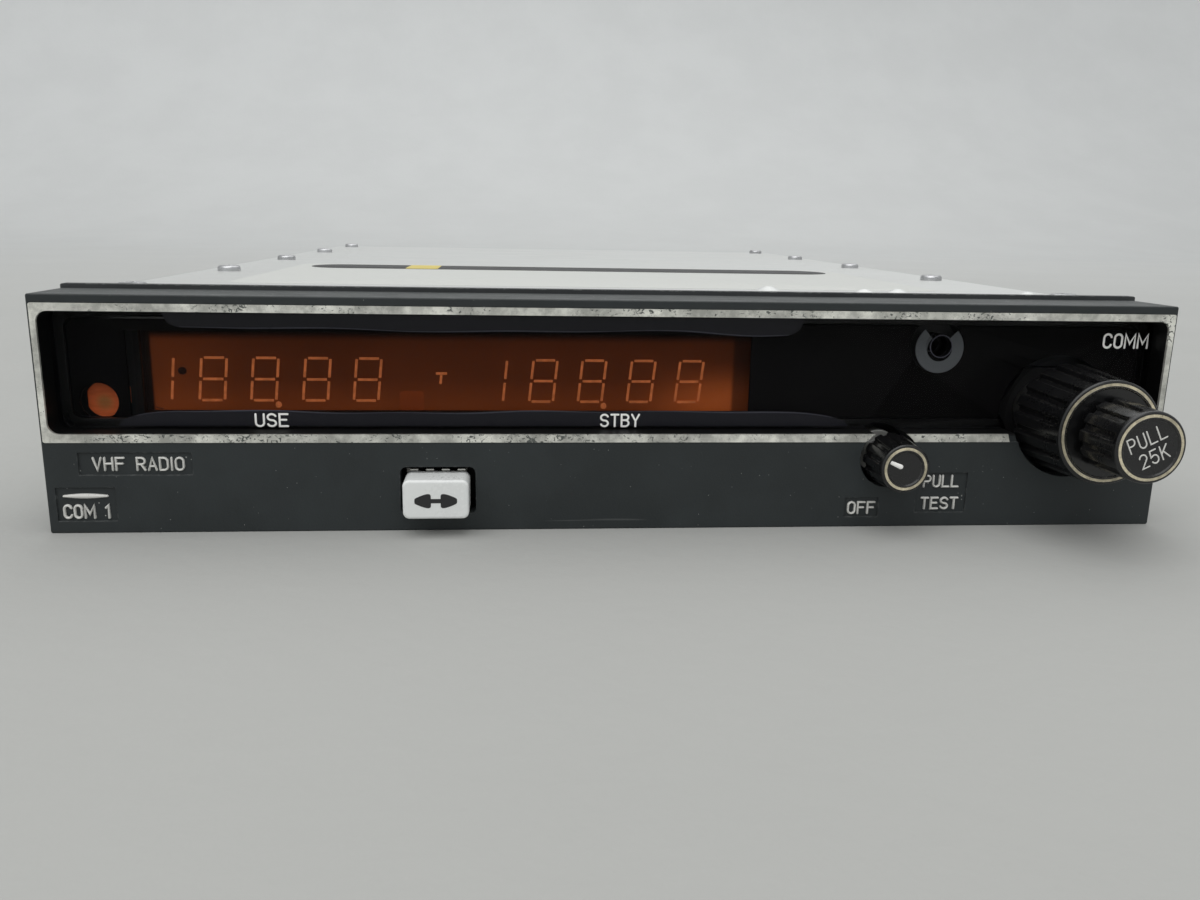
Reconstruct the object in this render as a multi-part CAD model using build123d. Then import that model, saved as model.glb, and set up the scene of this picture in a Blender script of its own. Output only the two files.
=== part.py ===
from build123d import *
from math import cos, pi, radians, sin
import os

# Panel-mounted airband transceiver, in millimetres. The design frame has x = 0 at mid width,
# y = 0 on the bezel's front face with +y to the rear, and z = 0 on the plane it rests on.

# --- driving dimensions: bezel and window ---
BEZEL_W = 158.75
BEZEL_H = 32.65
BEZEL_D = 10.65
BEZEL_FRONT_WALL = 2.5
BEZEL_FLOOR = 1.5
BEZEL_CORNER_R = 0.3
BEZEL_EDGE = 0.12
WINDOW_SIDE = 1.025
WINDOW_Z = (13.9, 30.45)
WINDOW_CORNER_R = 1.5
SHELF_T = 1.5
LENS_SETBACK = 3.4
LENS_T = 1.6
LEDGE_W = 1.2
LEDGE_T = 1.6
TRIM_SIDE_BORDER = 0.275
TRIM_W_Z = 1.15
TRIM_TOP_W = 1.05
TRIM_GROOVE = 0.3
TRIM_PROUD = 0.1
TRIM_CORNER_R = 0.3

# --- driving dimensions: controls ---
VOLUME_X = 38.3
VOLUME_Z = 10.3
VOLUME_HOLE_R = 4.3
VOLUME_KNOB_R = (3.85, 3.45)
VOLUME_KNOB_Y = (0.6, -6.3)
VOLUME_RING_R = (2.6, 3.08)
VOLUME_FLUTES = 10
TUNING_X = 65.4
TUNING_Z = 16.1
TUNING_HOLE_R = 8.6
TUNING_TRIM_GAP = 1.2
OUTER_KNOB_R = (8.0, 7.3)
OUTER_KNOB_Y = (2.4, -9.5)
OUTER_RING_R = (6.3, 6.95)
OUTER_FLUTES = 18
INNER_KNOB_R = (5.0, 4.75)
INNER_KNOB_Y = (-10.1, -18.6)
INNER_RING_R = (3.85, 4.43)
INNER_FLUTES = 12
RING_DEPTH = 0.5
RING_PROUD = 0.05
SMALL_SHAFT_R = 1.5875
LARGE_SHAFT_R = 3.175
PULL_TRAVEL = 2.5
OUTER_SETSCREW_Y = -2.5
INNER_SETSCREW_Y = -13.5
SETSCREW_ANGLE = 50.0
PRESS_TRAVEL = 1.5
BUTTON_X = (-31.2, -22.2)
BUTTON_Z = (2.85, 8.33)
BUTTON_Y = (-4.0, 1.5)
BUTTON_CORNER_R = 0.9
BUTTON_GAP = (0.65, 0.8)
BUTTON_GAP_Z = (0.45, 0.9)
STEM_R = 1.3
STEM_REACH = 6.5

# --- driving dimensions: display ---
DISPLAY_X = (-68.5, 19.5)
DISPLAY_Z = (15.3, 28.0)
FRONT_GLASS_T = 2.0
BACK_GLASS_T = 2.0
GLASS_GAP = 0.6
MASK_T = 0.4
MASK_WINDOW_X = (-69.2, 18.3)
MASK_WINDOW_Z = (15.6, 27.4)
PHOTOCELL_X = -73.3
PHOTOCELL_Z = 17.5
PHOTOCELL_SIZE = (4.5, 5.0)
DIGIT_H = 6.5
DIGIT_W = 3.5
SEGMENT_W = 0.36
SEGMENT_T = 0.1
DIGIT_LEAN = 6.0

# --- driving dimensions: chassis ---
PANEL_T = 1.6
PANEL_TOP_RISE = 0.63
CHASSIS_W = 155.6
CHASSIS_TOP = 31.9
COVER_T = 1.0
RAIL_T = 1.6
RAIL_FLANGE = 8.0
BODY_REAR = 238.4
REAR_PANEL_T = 2.0
LIP_REACH = 13.75
SINK_X = (-76.0, -20.0)
SINK_Z = (2.5, 29.5)
SINK_BASE_T = 3.0
SINK_FIN_REACH = 9.0
SINK_FINS = 12
SINK_FIN_T = 1.5
BOARD_T = 1.6
MAIN_BOARD_RIGHT = 36.0
MAIN_BOARD_SIDE_GAP = 4.2
MAIN_BOARD_FRONT = 30.0
MAIN_BOARD_REAR_GAP = 2.4
MAIN_BOARD_Z = 6.0
FRONT_BOARD_RIGHT = 29.0
FRONT_BOARD_SIDE_GAP = 0.3
FRONT_BOARD_Z = (4.0, 29.0)
FRONT_BOARD_GAP = 1.0

# --- driving dimensions: rack lock ---
LOCK_X = 46.0
LOCK_Z = 26.25
LOCK_PIVOT_Y = 120.0
LOCK_ARM = 6.0
LOCK_TRAVEL = 3.2
LOCK_SWING = 30.0
LOCK_SCREW_R = 1.6
LOCK_HEAD_R = 3.8
LOCK_HEAD_Y = (7.2, 10.4)
KEY_HOLE_R = 1.7
KEY_ACROSS_FLATS = 2.38
KEY_DEPTH = 2.5
HOOK_RADIUS = 24.0
HOOK_REST_ANGLE = 45.0
PAWL_T = 3.0

# --- clearances ---
RUN = 0.06
SEAT = 0.03
LOOSE = 0.1

# --- derived places ---
HALF_W = BEZEL_W / 2
HALF_CHASSIS = CHASSIS_W / 2
WINDOW_HALF = HALF_W - WINDOW_SIDE
LENS_REAR = LENS_SETBACK + LENS_T
LEDGE_REAR = LENS_REAR + LEDGE_T
SHELF_Z = (WINDOW_Z[0] - SHELF_T, WINDOW_Z[0])
PANEL_Y = (BEZEL_D, BEZEL_D + PANEL_T)
PANEL_REAR = PANEL_Y[1]
RAIL_Z = (COVER_T, CHASSIS_TOP - COVER_T)
RAIL_Y = (PANEL_REAR, BODY_REAR - REAR_PANEL_T)
RAIL_INNER = HALF_CHASSIS - RAIL_T
LIP_INNER = RAIL_INNER - PANEL_T
LIP_Z = (RAIL_Z[0] + RAIL_T + 0.4, RAIL_Z[1] - RAIL_T - 0.4)
MASK_Y = (LENS_REAR, LENS_REAR + MASK_T)
BACK_GLASS_Y = (BEZEL_D - BACK_GLASS_T, BEZEL_D)
FRONT_GLASS_Y = (BACK_GLASS_Y[0] - GLASS_GAP - FRONT_GLASS_T, BACK_GLASS_Y[0] - GLASS_GAP)
FRONT_BOARD_Y = (PANEL_REAR + FRONT_BOARD_GAP, PANEL_REAR + FRONT_BOARD_GAP + BOARD_T)
FRONT_BOARD_X = (-LIP_INNER + FRONT_BOARD_SIDE_GAP, FRONT_BOARD_RIGHT)
MAIN_BOARD_X = (-RAIL_INNER + MAIN_BOARD_SIDE_GAP, MAIN_BOARD_RIGHT)
MAIN_BOARD_Y = (MAIN_BOARD_FRONT, RAIL_Y[1] - MAIN_BOARD_REAR_GAP)
MAIN_BOARD_TOP = MAIN_BOARD_Z + BOARD_T
SINK_REAR = BODY_REAR + SINK_BASE_T + SINK_FIN_REACH
STEM_X = (BUTTON_X[0] + BUTTON_X[1]) / 2
STEM_Z = 4.6
SWITCH_X = (STEM_X - 4.0, STEM_X + 4.0)
SWITCH_Y = (5.6, BEZEL_D)
SWITCH_Z = (1.8, 6.5)
HEADER_PITCH = 2.54
HEADER_X = -27.2
HEADER_Z = 7.3
HEADER_BLOCK_Y = (8.65, BEZEL_D)
PIN_TOP_Z = DISPLAY_Z[0] - 0.05
DISPLAY_PIN_W = 0.5
DISPLAY_PINS = 24
VOLUME_BODY_Y = (PANEL_REAR, PANEL_REAR + 10.0)
VOLUME_BODY_R = 8.0
VOLUME_BUSH_R = 3.175
VOLUME_BUSH_FRONT = 5.0
TUNING_BODY_Y = (PANEL_REAR, PANEL_REAR + 16.0)
TUNING_BODY_R = 8.5
TUNING_BUSH_R = 4.7625
TUNING_BUSH_FRONT = 4.0
OUTER_SHAFT_REAR = PANEL_REAR + 7.0
COLLAR_R = 3.6
COLLAR_T = 2.0
COLLAR_GAP = 0.4
BOSS_X = (-72.0, -40.0, -8.0, 50.5)
BOSS_Z = 6.5
BOSS_R = 2.6
BEZEL_SCREW_R = 1.0
RAIL_SCREW_Y = 19.0
RAIL_SCREW_Z = (9.0, 23.0)
COVER_SCREW_X = HALF_CHASSIS - 5.2
COVER_SCREW_END = 8.9
COVER_SCREWS = 5
COVER_SCREW_R = 1.2
SCREW_HEAD_R = 2.2
SCREW_HEAD_T = 1.1
SCREW_THREAD_REACH = 3.4
REAR_SCREW_X = COVER_SCREW_X
REAR_SCREW_Z = (MAIN_BOARD_TOP + COVER_SCREW_R + 0.7, 24.5)
ANTENNA_X = 62.0
ANTENNA_Z = 16.0
ANTENNA_SHELL_R = (4.05, 4.8)
ANTENNA_NECK_R = 4.55
ANTENNA_BASE_R = 5.0
ANTENNA_LIP = 4.0
ANTENNA_LUG_R = 0.95
ANTENNA_REACH = 11.0
CONNECTOR_X = (-12.0, 44.0)
CONNECTOR_Z = (7.0, 19.0)
CONNECTOR_FLANGE_T = 2.0
TONGUE_INSET = 5.0
TONGUE_Z = (11.5, 14.5)
TONGUE_REACH = 8.0
CONTACTS = 18
CONTACT_W = 1.5
CONTACT_T = 0.2
PLATE_X = (53.5, 55.0)
LOCK_BRACKET_Y = (104.0, 148.0)
LOCK_FOOT_X = 66.0
LOCK_TAB_X = 42.0
LOCK_TAB_Z = 22.0
LOCK_SCREW_REAR = LOCK_BRACKET_Y[1] + 2.0
PAWL_X = (48.5, 48.5 + PAWL_T)
PIVOT_Z = LOCK_Z - LOCK_ARM
PIVOT_R = 1.5
FOLLOWER_R = 1.0
NUT_X = (42.6, 48.1)
NUT_Z = (22.75, 29.75)
NUT_LENGTH = 6.0

# The row frame has y = 0 midway between the inner knob's face and the heat sink's fins.
FRONT_REACH = -INNER_KNOB_Y[1] + RING_PROUD
FRAME_SHIFT = Pos(0, (FRONT_REACH - SINK_REAR) / 2, 0)


def block(x, y, z):
    """Axis-aligned box between the two values of each pair."""
    centre = Pos((x[0] + x[1]) / 2, (y[0] + y[1]) / 2, (z[0] + z[1]) / 2)
    return centre * Box(abs(x[1] - x[0]), abs(y[1] - y[0]), abs(z[1] - z[0]))


def slab(x, y, z, radius):
    """Box whose four edges along y are rounded."""
    body = block(x, y, z)
    return fillet(body.edges().filter_by(Axis.Y), radius)


def rod_x(x, y, z, radius):
    """Cylinder along x between the two values of x."""
    return Pos((x[0] + x[1]) / 2, y, z) * Rot(0, 90, 0) * Cylinder(radius, abs(x[1] - x[0]))


def rod_y(x, y, z, radius):
    """Cylinder along y between the two values of y."""
    return Pos(x, (y[0] + y[1]) / 2, z) * Rot(90, 0, 0) * Cylinder(radius, abs(y[1] - y[0]))


def rod_z(x, y, z, radius):
    """Cylinder along z between the two values of z."""
    return Pos(x, y, (z[0] + z[1]) / 2) * Cylinder(radius, abs(z[1] - z[0]))


def hex_y(x, y, z, across_flats):
    """Hexagonal prism along y between the two values of y."""
    outline = RegularPolygon(across_flats / 2, 6, major_radius=False)
    prism = extrude(outline, abs(y[1] - y[0]))
    return Pos(x, max(y), z) * Rot(90, 0, 0) * prism


def turned_y(x, z, profile):
    """Solid of revolution about y from (radius, y) pairs."""
    face = make_face(Polyline(*[(radius, -y) for radius, y in profile], close=True))
    return Pos(x, 0, z) * Rot(90, 0, 0) * revolve(Plane.XZ * face, Axis.Z)


def polar(count, start=0.0):
    """Angles in degrees of count places evenly round a circle."""
    return [start + 360.0 * i / count for i in range(count)]


def spread(low, high, count):
    """Evenly spaced values from low to high."""
    return [low + (high - low) * i / (count - 1) for i in range(count)]


def group(solids):
    """Separate solids kept together in one node."""
    return Compound(children=list(solids))


def joined(solids):
    """One solid from pieces that touch or overlap."""
    first, *rest = solids
    return first + rest


# --- front panel ---

def window_outline(inset, y, radius):
    """Window-shaped slab, smaller than the window by inset."""
    x = (-WINDOW_HALF + inset, WINDOW_HALF - inset)
    z = (WINDOW_Z[0] + inset, WINDOW_Z[1] - inset)
    return slab(x, y, z, radius)


def legend_pockets():
    """Shallow rectangular pockets that hold the raised legends."""
    depth = (-1.0, 0.25)
    spots = [
        ((-74.85, -59.9), (8.2, 11.35)),
        ((-78.2, -70.35), (1.7, 6.45)),
        ((32.2, 37.2), (1.5, 4.4)),
        ((42.8, 50.4), (2.1, 8.1)),
    ]
    return [block(x, depth, z) for x, z in spots]


def knob_clearances():
    """Holes through the bezel for the two knob positions."""
    full = (-1.0, BEZEL_D + 1.0)
    nut_room = (LENS_REAR + 0.5, BEZEL_D + 1.0)
    return [
        rod_y(VOLUME_X, full, VOLUME_Z, VOLUME_HOLE_R),
        rod_y(VOLUME_X, nut_room, VOLUME_Z, VOLUME_HOLE_R + 0.9),
        rod_y(TUNING_X, full, TUNING_Z, TUNING_HOLE_R),
    ]


def make_bezel():
    shell = slab((-HALF_W, HALF_W), (0, BEZEL_D), (0, BEZEL_H), BEZEL_CORNER_R)
    front_rim = shell.faces().sort_by(Axis.Y)[0].edges()
    shell = chamfer(front_rim, BEZEL_EDGE)
    cuts = [window_outline(0, (-1, BEZEL_D + 1), WINDOW_CORNER_R)]
    inner_x = (-WINDOW_HALF, WINDOW_HALF)
    cuts.append(block(inner_x, (BEZEL_FRONT_WALL, BEZEL_D + 1), (BEZEL_FLOOR, SHELF_Z[0])))
    button_x = (BUTTON_X[0] - BUTTON_GAP[0], BUTTON_X[1] + BUTTON_GAP[1])
    button_z = (BUTTON_Z[0] - BUTTON_GAP_Z[0], BUTTON_Z[1] + BUTTON_GAP_Z[1])
    cuts.append(slab(button_x, (-1, BEZEL_FRONT_WALL + 1), button_z, BUTTON_CORNER_R))
    cuts.append(trim_ring((-1, TRIM_GROOVE), 0.02))
    cuts += legend_pockets()
    ledge = window_outline(-0.5, (LENS_REAR, LEDGE_REAR), WINDOW_CORNER_R)
    ledge -= window_outline(LEDGE_W, (0, BEZEL_D), WINDOW_CORNER_R)
    bosses = [rod_y(x, (BEZEL_FRONT_WALL - 0.5, BEZEL_D), BOSS_Z, BOSS_R) for x in BOSS_X]
    bezel = joined([shell - cuts, ledge] + bosses)
    pilots = [rod_y(x, (4.0, BEZEL_D + 1), BOSS_Z, BEZEL_SCREW_R + SEAT) for x in BOSS_X]
    return bezel - (knob_clearances() + pilots)


def trim_ring(y, slack):
    """Rectangular band round the window, before the knob gaps."""
    x = (-HALF_W + TRIM_SIDE_BORDER - slack, HALF_W - TRIM_SIDE_BORDER + slack)
    z = (WINDOW_Z[0] - TRIM_W_Z - slack, WINDOW_Z[1] + TRIM_TOP_W + slack)
    band = slab(x, y, z, TRIM_CORNER_R)
    return band - window_outline(0, (y[0] - 1, y[1] + 1), WINDOW_CORNER_R)


def make_window_trim():
    band = trim_ring((-TRIM_PROUD, TRIM_GROOVE), 0)
    deep = (-1, 1)
    gap_volume = rod_y(VOLUME_X, deep, VOLUME_Z, VOLUME_HOLE_R)
    gap_tuning = rod_y(TUNING_X, deep, TUNING_Z, TUNING_HOLE_R + TUNING_TRIM_GAP)
    return band - [gap_volume, gap_tuning]


def make_lens():
    pane = window_outline(LOOSE, (LENS_SETBACK, LENS_REAR), WINDOW_CORNER_R - LOOSE)
    through = (LENS_SETBACK - 1, LENS_REAR + 1)
    cuts = [
        rod_y(LOCK_X, through, LOCK_Z, KEY_HOLE_R),
        rod_y(VOLUME_X, through, VOLUME_Z, VOLUME_HOLE_R),
        rod_y(TUNING_X, through, TUNING_Z, TUNING_HOLE_R),
    ]
    return pane - cuts


def make_display_mask():
    inset = LEDGE_W + 2 * LOOSE
    sheet = window_outline(inset, MASK_Y, WINDOW_CORNER_R)
    through = (MASK_Y[0] - 1, MASK_Y[1] + 1)
    cuts = [
        block(MASK_WINDOW_X, through, MASK_WINDOW_Z),
        rod_y(PHOTOCELL_X, through, PHOTOCELL_Z, PHOTOCELL_SIZE[1] / 2 + LOOSE),
        rod_y(LOCK_X, through, LOCK_Z, LOCK_HEAD_R + 2 * LOOSE),
        rod_y(TUNING_X, through, TUNING_Z, TUNING_HOLE_R + 2 * LOOSE),
    ]
    return sheet - cuts


# --- gas discharge display ---

def make_front_glass():
    return block(DISPLAY_X, FRONT_GLASS_Y, DISPLAY_Z)


def make_back_glass():
    return block(DISPLAY_X, BACK_GLASS_Y, DISPLAY_Z)


def make_glass_seal():
    between = (FRONT_GLASS_Y[1], BACK_GLASS_Y[0])
    rim = block(DISPLAY_X, between, DISPLAY_Z)
    seal_w = 0.35
    x = (DISPLAY_X[0] + seal_w, DISPLAY_X[1] - seal_w)
    z = (DISPLAY_Z[0] + seal_w, DISPLAY_Z[1] - seal_w)
    return rim - block(x, (between[0] - 1, between[1] + 1), z)


def segment_bar(centre_x, centre_z, length, angle):
    """One cathode bar, length long, turned by angle in the display's plane."""
    bar = Box(length, SEGMENT_T, SEGMENT_W)
    plane_y = BACK_GLASS_Y[0] - SEGMENT_T / 2
    return Pos(centre_x, plane_y, centre_z) * Rot(0, -angle, 0) * bar


def digit_segments(centre_x, base_z, names):
    """Seven-segment digit made from the named bars, leaning to the right."""
    lean = sin(radians(DIGIT_LEAN))
    bar_w = DIGIT_W - 2 * SEGMENT_W
    bar_h = DIGIT_H / 2 - 1.6 * SEGMENT_W
    half = DIGIT_W / 2
    upright = 90 - DIGIT_LEAN
    layout = {
        "a": (0, DIGIT_H - SEGMENT_W / 2, bar_w, 0),
        "b": (half, DIGIT_H * 0.75, bar_h, upright),
        "c": (half, DIGIT_H * 0.25, bar_h, upright),
        "d": (0, SEGMENT_W / 2, bar_w, 0),
        "e": (-half, DIGIT_H * 0.25, bar_h, upright),
        "f": (-half, DIGIT_H * 0.75, bar_h, upright),
        "g": (0, DIGIT_H / 2, bar_w, 0),
    }
    bars = []
    for name in names:
        x, z, length, angle = layout[name]
        shift = lean * (z - DIGIT_H / 2)
        bars.append(segment_bar(centre_x + x + shift, base_z + z, length, angle))
    return bars


def frequency_segments(first_x, base_z):
    """A leading one, four full digits and a point: the active or the standby frequency."""
    steps = (5.6, 12.8, 20.1, 27.3)
    bars = digit_segments(first_x - DIGIT_W / 2, base_z, "bc")
    for step in steps:
        bars += digit_segments(first_x + step, base_z, "abcdefg")
    point_x = first_x + steps[1] + DIGIT_W / 2
    plane = (BACK_GLASS_Y[0] - SEGMENT_T, BACK_GLASS_Y[0])
    bars.append(rod_y(point_x, plane, base_z - 0.45, 0.45))
    return bars


def make_cathodes():
    bars = frequency_segments(-64.4, 16.9)
    bars += frequency_segments(-17.3, 16.8)
    letter_x = -26.5
    bars.append(segment_bar(letter_x, 21.1, 1.6, 0))
    bars.append(segment_bar(letter_x - 0.1, 20.2, 1.3, 90 - DIGIT_LEAN))
    return group(bars)


def display_pin_places():
    margin = 2.5
    return spread(DISPLAY_X[0] + margin, DISPLAY_X[1] - margin, DISPLAY_PINS)


def header_pin_places():
    return [HEADER_X + HEADER_PITCH * (i - 1.5) for i in range(4)]


def front_pins(slack=0.0):
    """Display pins under the glass, then the four header pins over the transfer switch."""
    rear = FRONT_BOARD_Y[1] + 0.8
    half = DISPLAY_PIN_W / 2 + slack
    top = PIN_TOP_Z + slack
    bottom = PIN_TOP_Z - DISPLAY_PIN_W - slack
    pins = [block((x - half, x + half), (9.0, rear), (bottom, top)) for x in display_pin_places()]
    half_w = 0.55 + slack
    half_h = 0.32 + slack
    z = (HEADER_Z - half_h, HEADER_Z + half_h)
    pins += [block((x - half_w, x + half_w), (6.0, rear), z) for x in header_pin_places()]
    return pins


def make_connector_pins():
    return group(front_pins())


def make_panel_header():
    x = (HEADER_X - 2 * HEADER_PITCH - 0.1, HEADER_X + 2 * HEADER_PITCH + 0.1)
    return block(x, HEADER_BLOCK_Y, (SWITCH_Z[1] + LOOSE, 8.1)) - front_pins(SEAT)


def photocell_leads(slack=0.0):
    y = (BACK_GLASS_Y[1] - 0.1, FRONT_BOARD_Y[1] + 0.8)
    return [rod_y(PHOTOCELL_X, y, PHOTOCELL_Z + dz, 0.3 + slack) for dz in (-1.27, 1.27)]


def make_photocell():
    """Disc with two flattened sides and its two wire leads."""
    disc = rod_y(PHOTOCELL_X, (LEDGE_REAR + 0.3, BACK_GLASS_Y[1]), PHOTOCELL_Z, PHOTOCELL_SIZE[1] / 2)
    half = PHOTOCELL_SIZE[0] / 2
    keep = block((PHOTOCELL_X - half, PHOTOCELL_X + half), (0, 12), (10, 25))
    return joined([disc & keep] + photocell_leads())


def make_display_board():
    board = block(FRONT_BOARD_X, FRONT_BOARD_Y, FRONT_BOARD_Z)
    return board - (front_pins(SEAT) + photocell_leads(SEAT))


# --- transfer button ---

def make_transfer_button():
    cap = slab(BUTTON_X, BUTTON_Y, BUTTON_Z, BUTTON_CORNER_R)
    cap = fillet(cap.faces().sort_by(Axis.Y)[0].edges(), 0.35)
    stem = rod_y(STEM_X, (BUTTON_Y[1] - 0.2, BUTTON_Y[1] + STEM_REACH), STEM_Z, STEM_R)
    return joined([cap, stem])


def make_transfer_switch():
    body = block(SWITCH_X, SWITCH_Y, SWITCH_Z)
    bore_end = BUTTON_Y[1] + STEM_REACH + PRESS_TRAVEL + 0.4
    return body - rod_y(STEM_X, (SWITCH_Y[0] - 1, bore_end), STEM_Z, STEM_R + RUN)


def make_transfer_spring():
    """Open coil between the back of the cap and the switch's face."""
    wire_r = 0.16
    coil_r = STEM_R + 2 * wire_r + 0.12
    height = SWITCH_Y[0] - BUTTON_Y[1] - 2 * wire_r - 0.1
    path = Helix(pitch=height / 5, height=height, radius=coil_r)
    section = (path ^ 0) * Circle(wire_r)
    coil = sweep(section, path=path)
    return Pos(STEM_X, SWITCH_Y[0] - wire_r - 0.05, STEM_Z) * Rot(90, 0, 0) * coil


# --- knobs ---

def fluted_knob(x, z, radii, span, flutes, groove_r):
    """Tapered knob from span[0] at the rear to span[1] at the face, with lengthwise grooves."""
    rear, face = span
    edge = 0.3
    profile = [(0, rear), (radii[0] - edge, rear), (radii[0], rear - edge)]
    profile += [(radii[1], face + edge), (radii[1] - edge, face), (0, face)]
    body = turned_y(x, z, profile)
    stop = face + 1.0
    length = rear + 1 - stop
    slope = (radii[0] - radii[1]) / (rear - face)
    lean = slope * 180 / pi
    middle = (radii[0] + radii[1]) / 2 + groove_r * 0.45
    place = Pos(x, (rear + 1 + stop) / 2, z)
    cutter = Pos(middle, 0, 0) * Rot(90, 0, -lean) * Cylinder(groove_r, length)
    grooves = [place * Rot(0, angle, 0) * cutter for angle in polar(flutes, 9.0)]
    return body - grooves


def ring_groove(x, z, radii, face):
    """Annular groove in a knob's face."""
    y = (face - 1, face + RING_DEPTH)
    return rod_y(x, y, z, radii[1]) - rod_y(x, y, z, radii[0])


def knob_ring(x, z, radii, face):
    """Metal ring seated in the knob's groove."""
    y = (face - RING_PROUD, face + RING_DEPTH)
    return rod_y(x, y, z, radii[1] - SEAT) - rod_y(x, y, z, radii[0] + SEAT)


def setscrew(x, z, y, radius, reach, angle):
    """Headless screw from reach[0] to reach[1] off the knob's axis, with a slot."""
    screw = rod_x(reach, 0, 0, radius)
    slot = block((reach[1] - 0.6, reach[1] + 1), (-2 * radius, 2 * radius), (-0.2, 0.2))
    return Pos(x, y, z) * Rot(0, angle, 0) * (screw - slot)


def setscrew_hole(x, z, y, radius, knob_r, angle):
    return Pos(x, y, z) * Rot(0, angle, 0) * rod_x((0, knob_r + 1), 0, 0, radius + SEAT)


def make_volume_knob():
    knob = fluted_knob(VOLUME_X, VOLUME_Z, VOLUME_KNOB_R, VOLUME_KNOB_Y, VOLUME_FLUTES, 0.55)
    bore = (VOLUME_KNOB_Y[1] + 1.5, VOLUME_KNOB_Y[0] + 1)
    shaft_hole = rod_y(VOLUME_X, bore, VOLUME_Z, SMALL_SHAFT_R + SEAT)
    return knob - [ring_groove(VOLUME_X, VOLUME_Z, VOLUME_RING_R, VOLUME_KNOB_Y[1]), shaft_hole]


def make_outer_knob():
    knob = fluted_knob(TUNING_X, TUNING_Z, OUTER_KNOB_R, OUTER_KNOB_Y, OUTER_FLUTES, 0.75)
    bore = (OUTER_KNOB_Y[1] - 1, OUTER_KNOB_Y[0] + 1)
    cuts = [
        ring_groove(TUNING_X, TUNING_Z, OUTER_RING_R, OUTER_KNOB_Y[1]),
        rod_y(TUNING_X, bore, TUNING_Z, LARGE_SHAFT_R + SEAT),
        setscrew_hole(TUNING_X, TUNING_Z, OUTER_SETSCREW_Y, 1.25, OUTER_KNOB_R[0], SETSCREW_ANGLE),
    ]
    return knob - cuts


def make_inner_knob():
    knob = fluted_knob(TUNING_X, TUNING_Z, INNER_KNOB_R, INNER_KNOB_Y, INNER_FLUTES, 0.6)
    bore = (INNER_KNOB_Y[1] + 1.5, INNER_KNOB_Y[0] + 1)
    cuts = [
        ring_groove(TUNING_X, TUNING_Z, INNER_RING_R, INNER_KNOB_Y[1]),
        rod_y(TUNING_X, bore, TUNING_Z, SMALL_SHAFT_R + SEAT),
        setscrew_hole(TUNING_X, TUNING_Z, INNER_SETSCREW_Y, 0.9, INNER_KNOB_R[0], SETSCREW_ANGLE),
    ]
    return knob - cuts


def make_outer_setscrew():
    reach = (LARGE_SHAFT_R + SEAT, OUTER_KNOB_R[1] - 0.6)
    return setscrew(TUNING_X, TUNING_Z, OUTER_SETSCREW_Y, 1.25, reach, SETSCREW_ANGLE)


def make_inner_setscrew():
    reach = (SMALL_SHAFT_R + SEAT, INNER_KNOB_R[1] - 0.5)
    return setscrew(TUNING_X, TUNING_Z, INNER_SETSCREW_Y, 0.9, reach, SETSCREW_ANGLE)


def shaft_rear(body_y):
    """Rear end of a pull shaft: its collar stands one pull travel behind the control's body."""
    return body_y[1] + COLLAR_GAP + PULL_TRAVEL + COLLAR_T


def make_volume_shaft():
    y = (VOLUME_KNOB_Y[1] + 1.6, shaft_rear(VOLUME_BODY_Y) + 0.5)
    return rod_y(VOLUME_X, y, VOLUME_Z, SMALL_SHAFT_R)


def make_inner_shaft():
    y = (INNER_KNOB_Y[1] + 1.6, shaft_rear(TUNING_BODY_Y) + 0.5)
    return rod_y(TUNING_X, y, TUNING_Z, SMALL_SHAFT_R)


def make_outer_shaft():
    y = (OUTER_KNOB_Y[1] + 0.4, OUTER_SHAFT_REAR)
    tube = rod_y(TUNING_X, y, TUNING_Z, LARGE_SHAFT_R)
    return tube - rod_y(TUNING_X, (y[0] - 1, y[1] + 1), TUNING_Z, SMALL_SHAFT_R + RUN)


def pull_collar(x, z, body_y):
    """Ring that the pull switch follows, loose on the turning shaft."""
    rear = shaft_rear(body_y)
    y = (rear - COLLAR_T, rear)
    return rod_y(x, y, z, COLLAR_R) - rod_y(x, (y[0] - 1, y[1] + 1), z, SMALL_SHAFT_R + RUN)


def make_volume_control():
    x, z = VOLUME_X, VOLUME_Z
    body = rod_y(x, VOLUME_BODY_Y, z, VOLUME_BODY_R)
    bush = rod_y(x, (VOLUME_BUSH_FRONT, VOLUME_BODY_Y[0] + 1), z, VOLUME_BUSH_R)
    bore = rod_y(x, (VOLUME_BUSH_FRONT - 1, VOLUME_BODY_Y[1] + 1), z, SMALL_SHAFT_R + RUN)
    return joined([body, bush]) - bore


def make_tuning_encoder():
    x, z = TUNING_X, TUNING_Z
    body = rod_y(x, TUNING_BODY_Y, z, TUNING_BODY_R)
    bush = rod_y(x, (TUNING_BUSH_FRONT, TUNING_BODY_Y[0] + 1), z, TUNING_BUSH_R)
    wide = rod_y(x, (TUNING_BUSH_FRONT - 1, OUTER_SHAFT_REAR + 0.4), z, LARGE_SHAFT_R + RUN)
    slim = rod_y(x, (TUNING_BUSH_FRONT - 1, TUNING_BODY_Y[1] + 1), z, SMALL_SHAFT_R + RUN)
    return joined([body, bush]) - [wide, slim]


def panel_nut(x, z, across_flats, thickness, bush_r):
    y = (BEZEL_D - thickness, BEZEL_D)
    return hex_y(x, y, z, across_flats) - rod_y(x, (y[0] - 1, y[1] + 1), z, bush_r + SEAT)


# --- chassis ---

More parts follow.
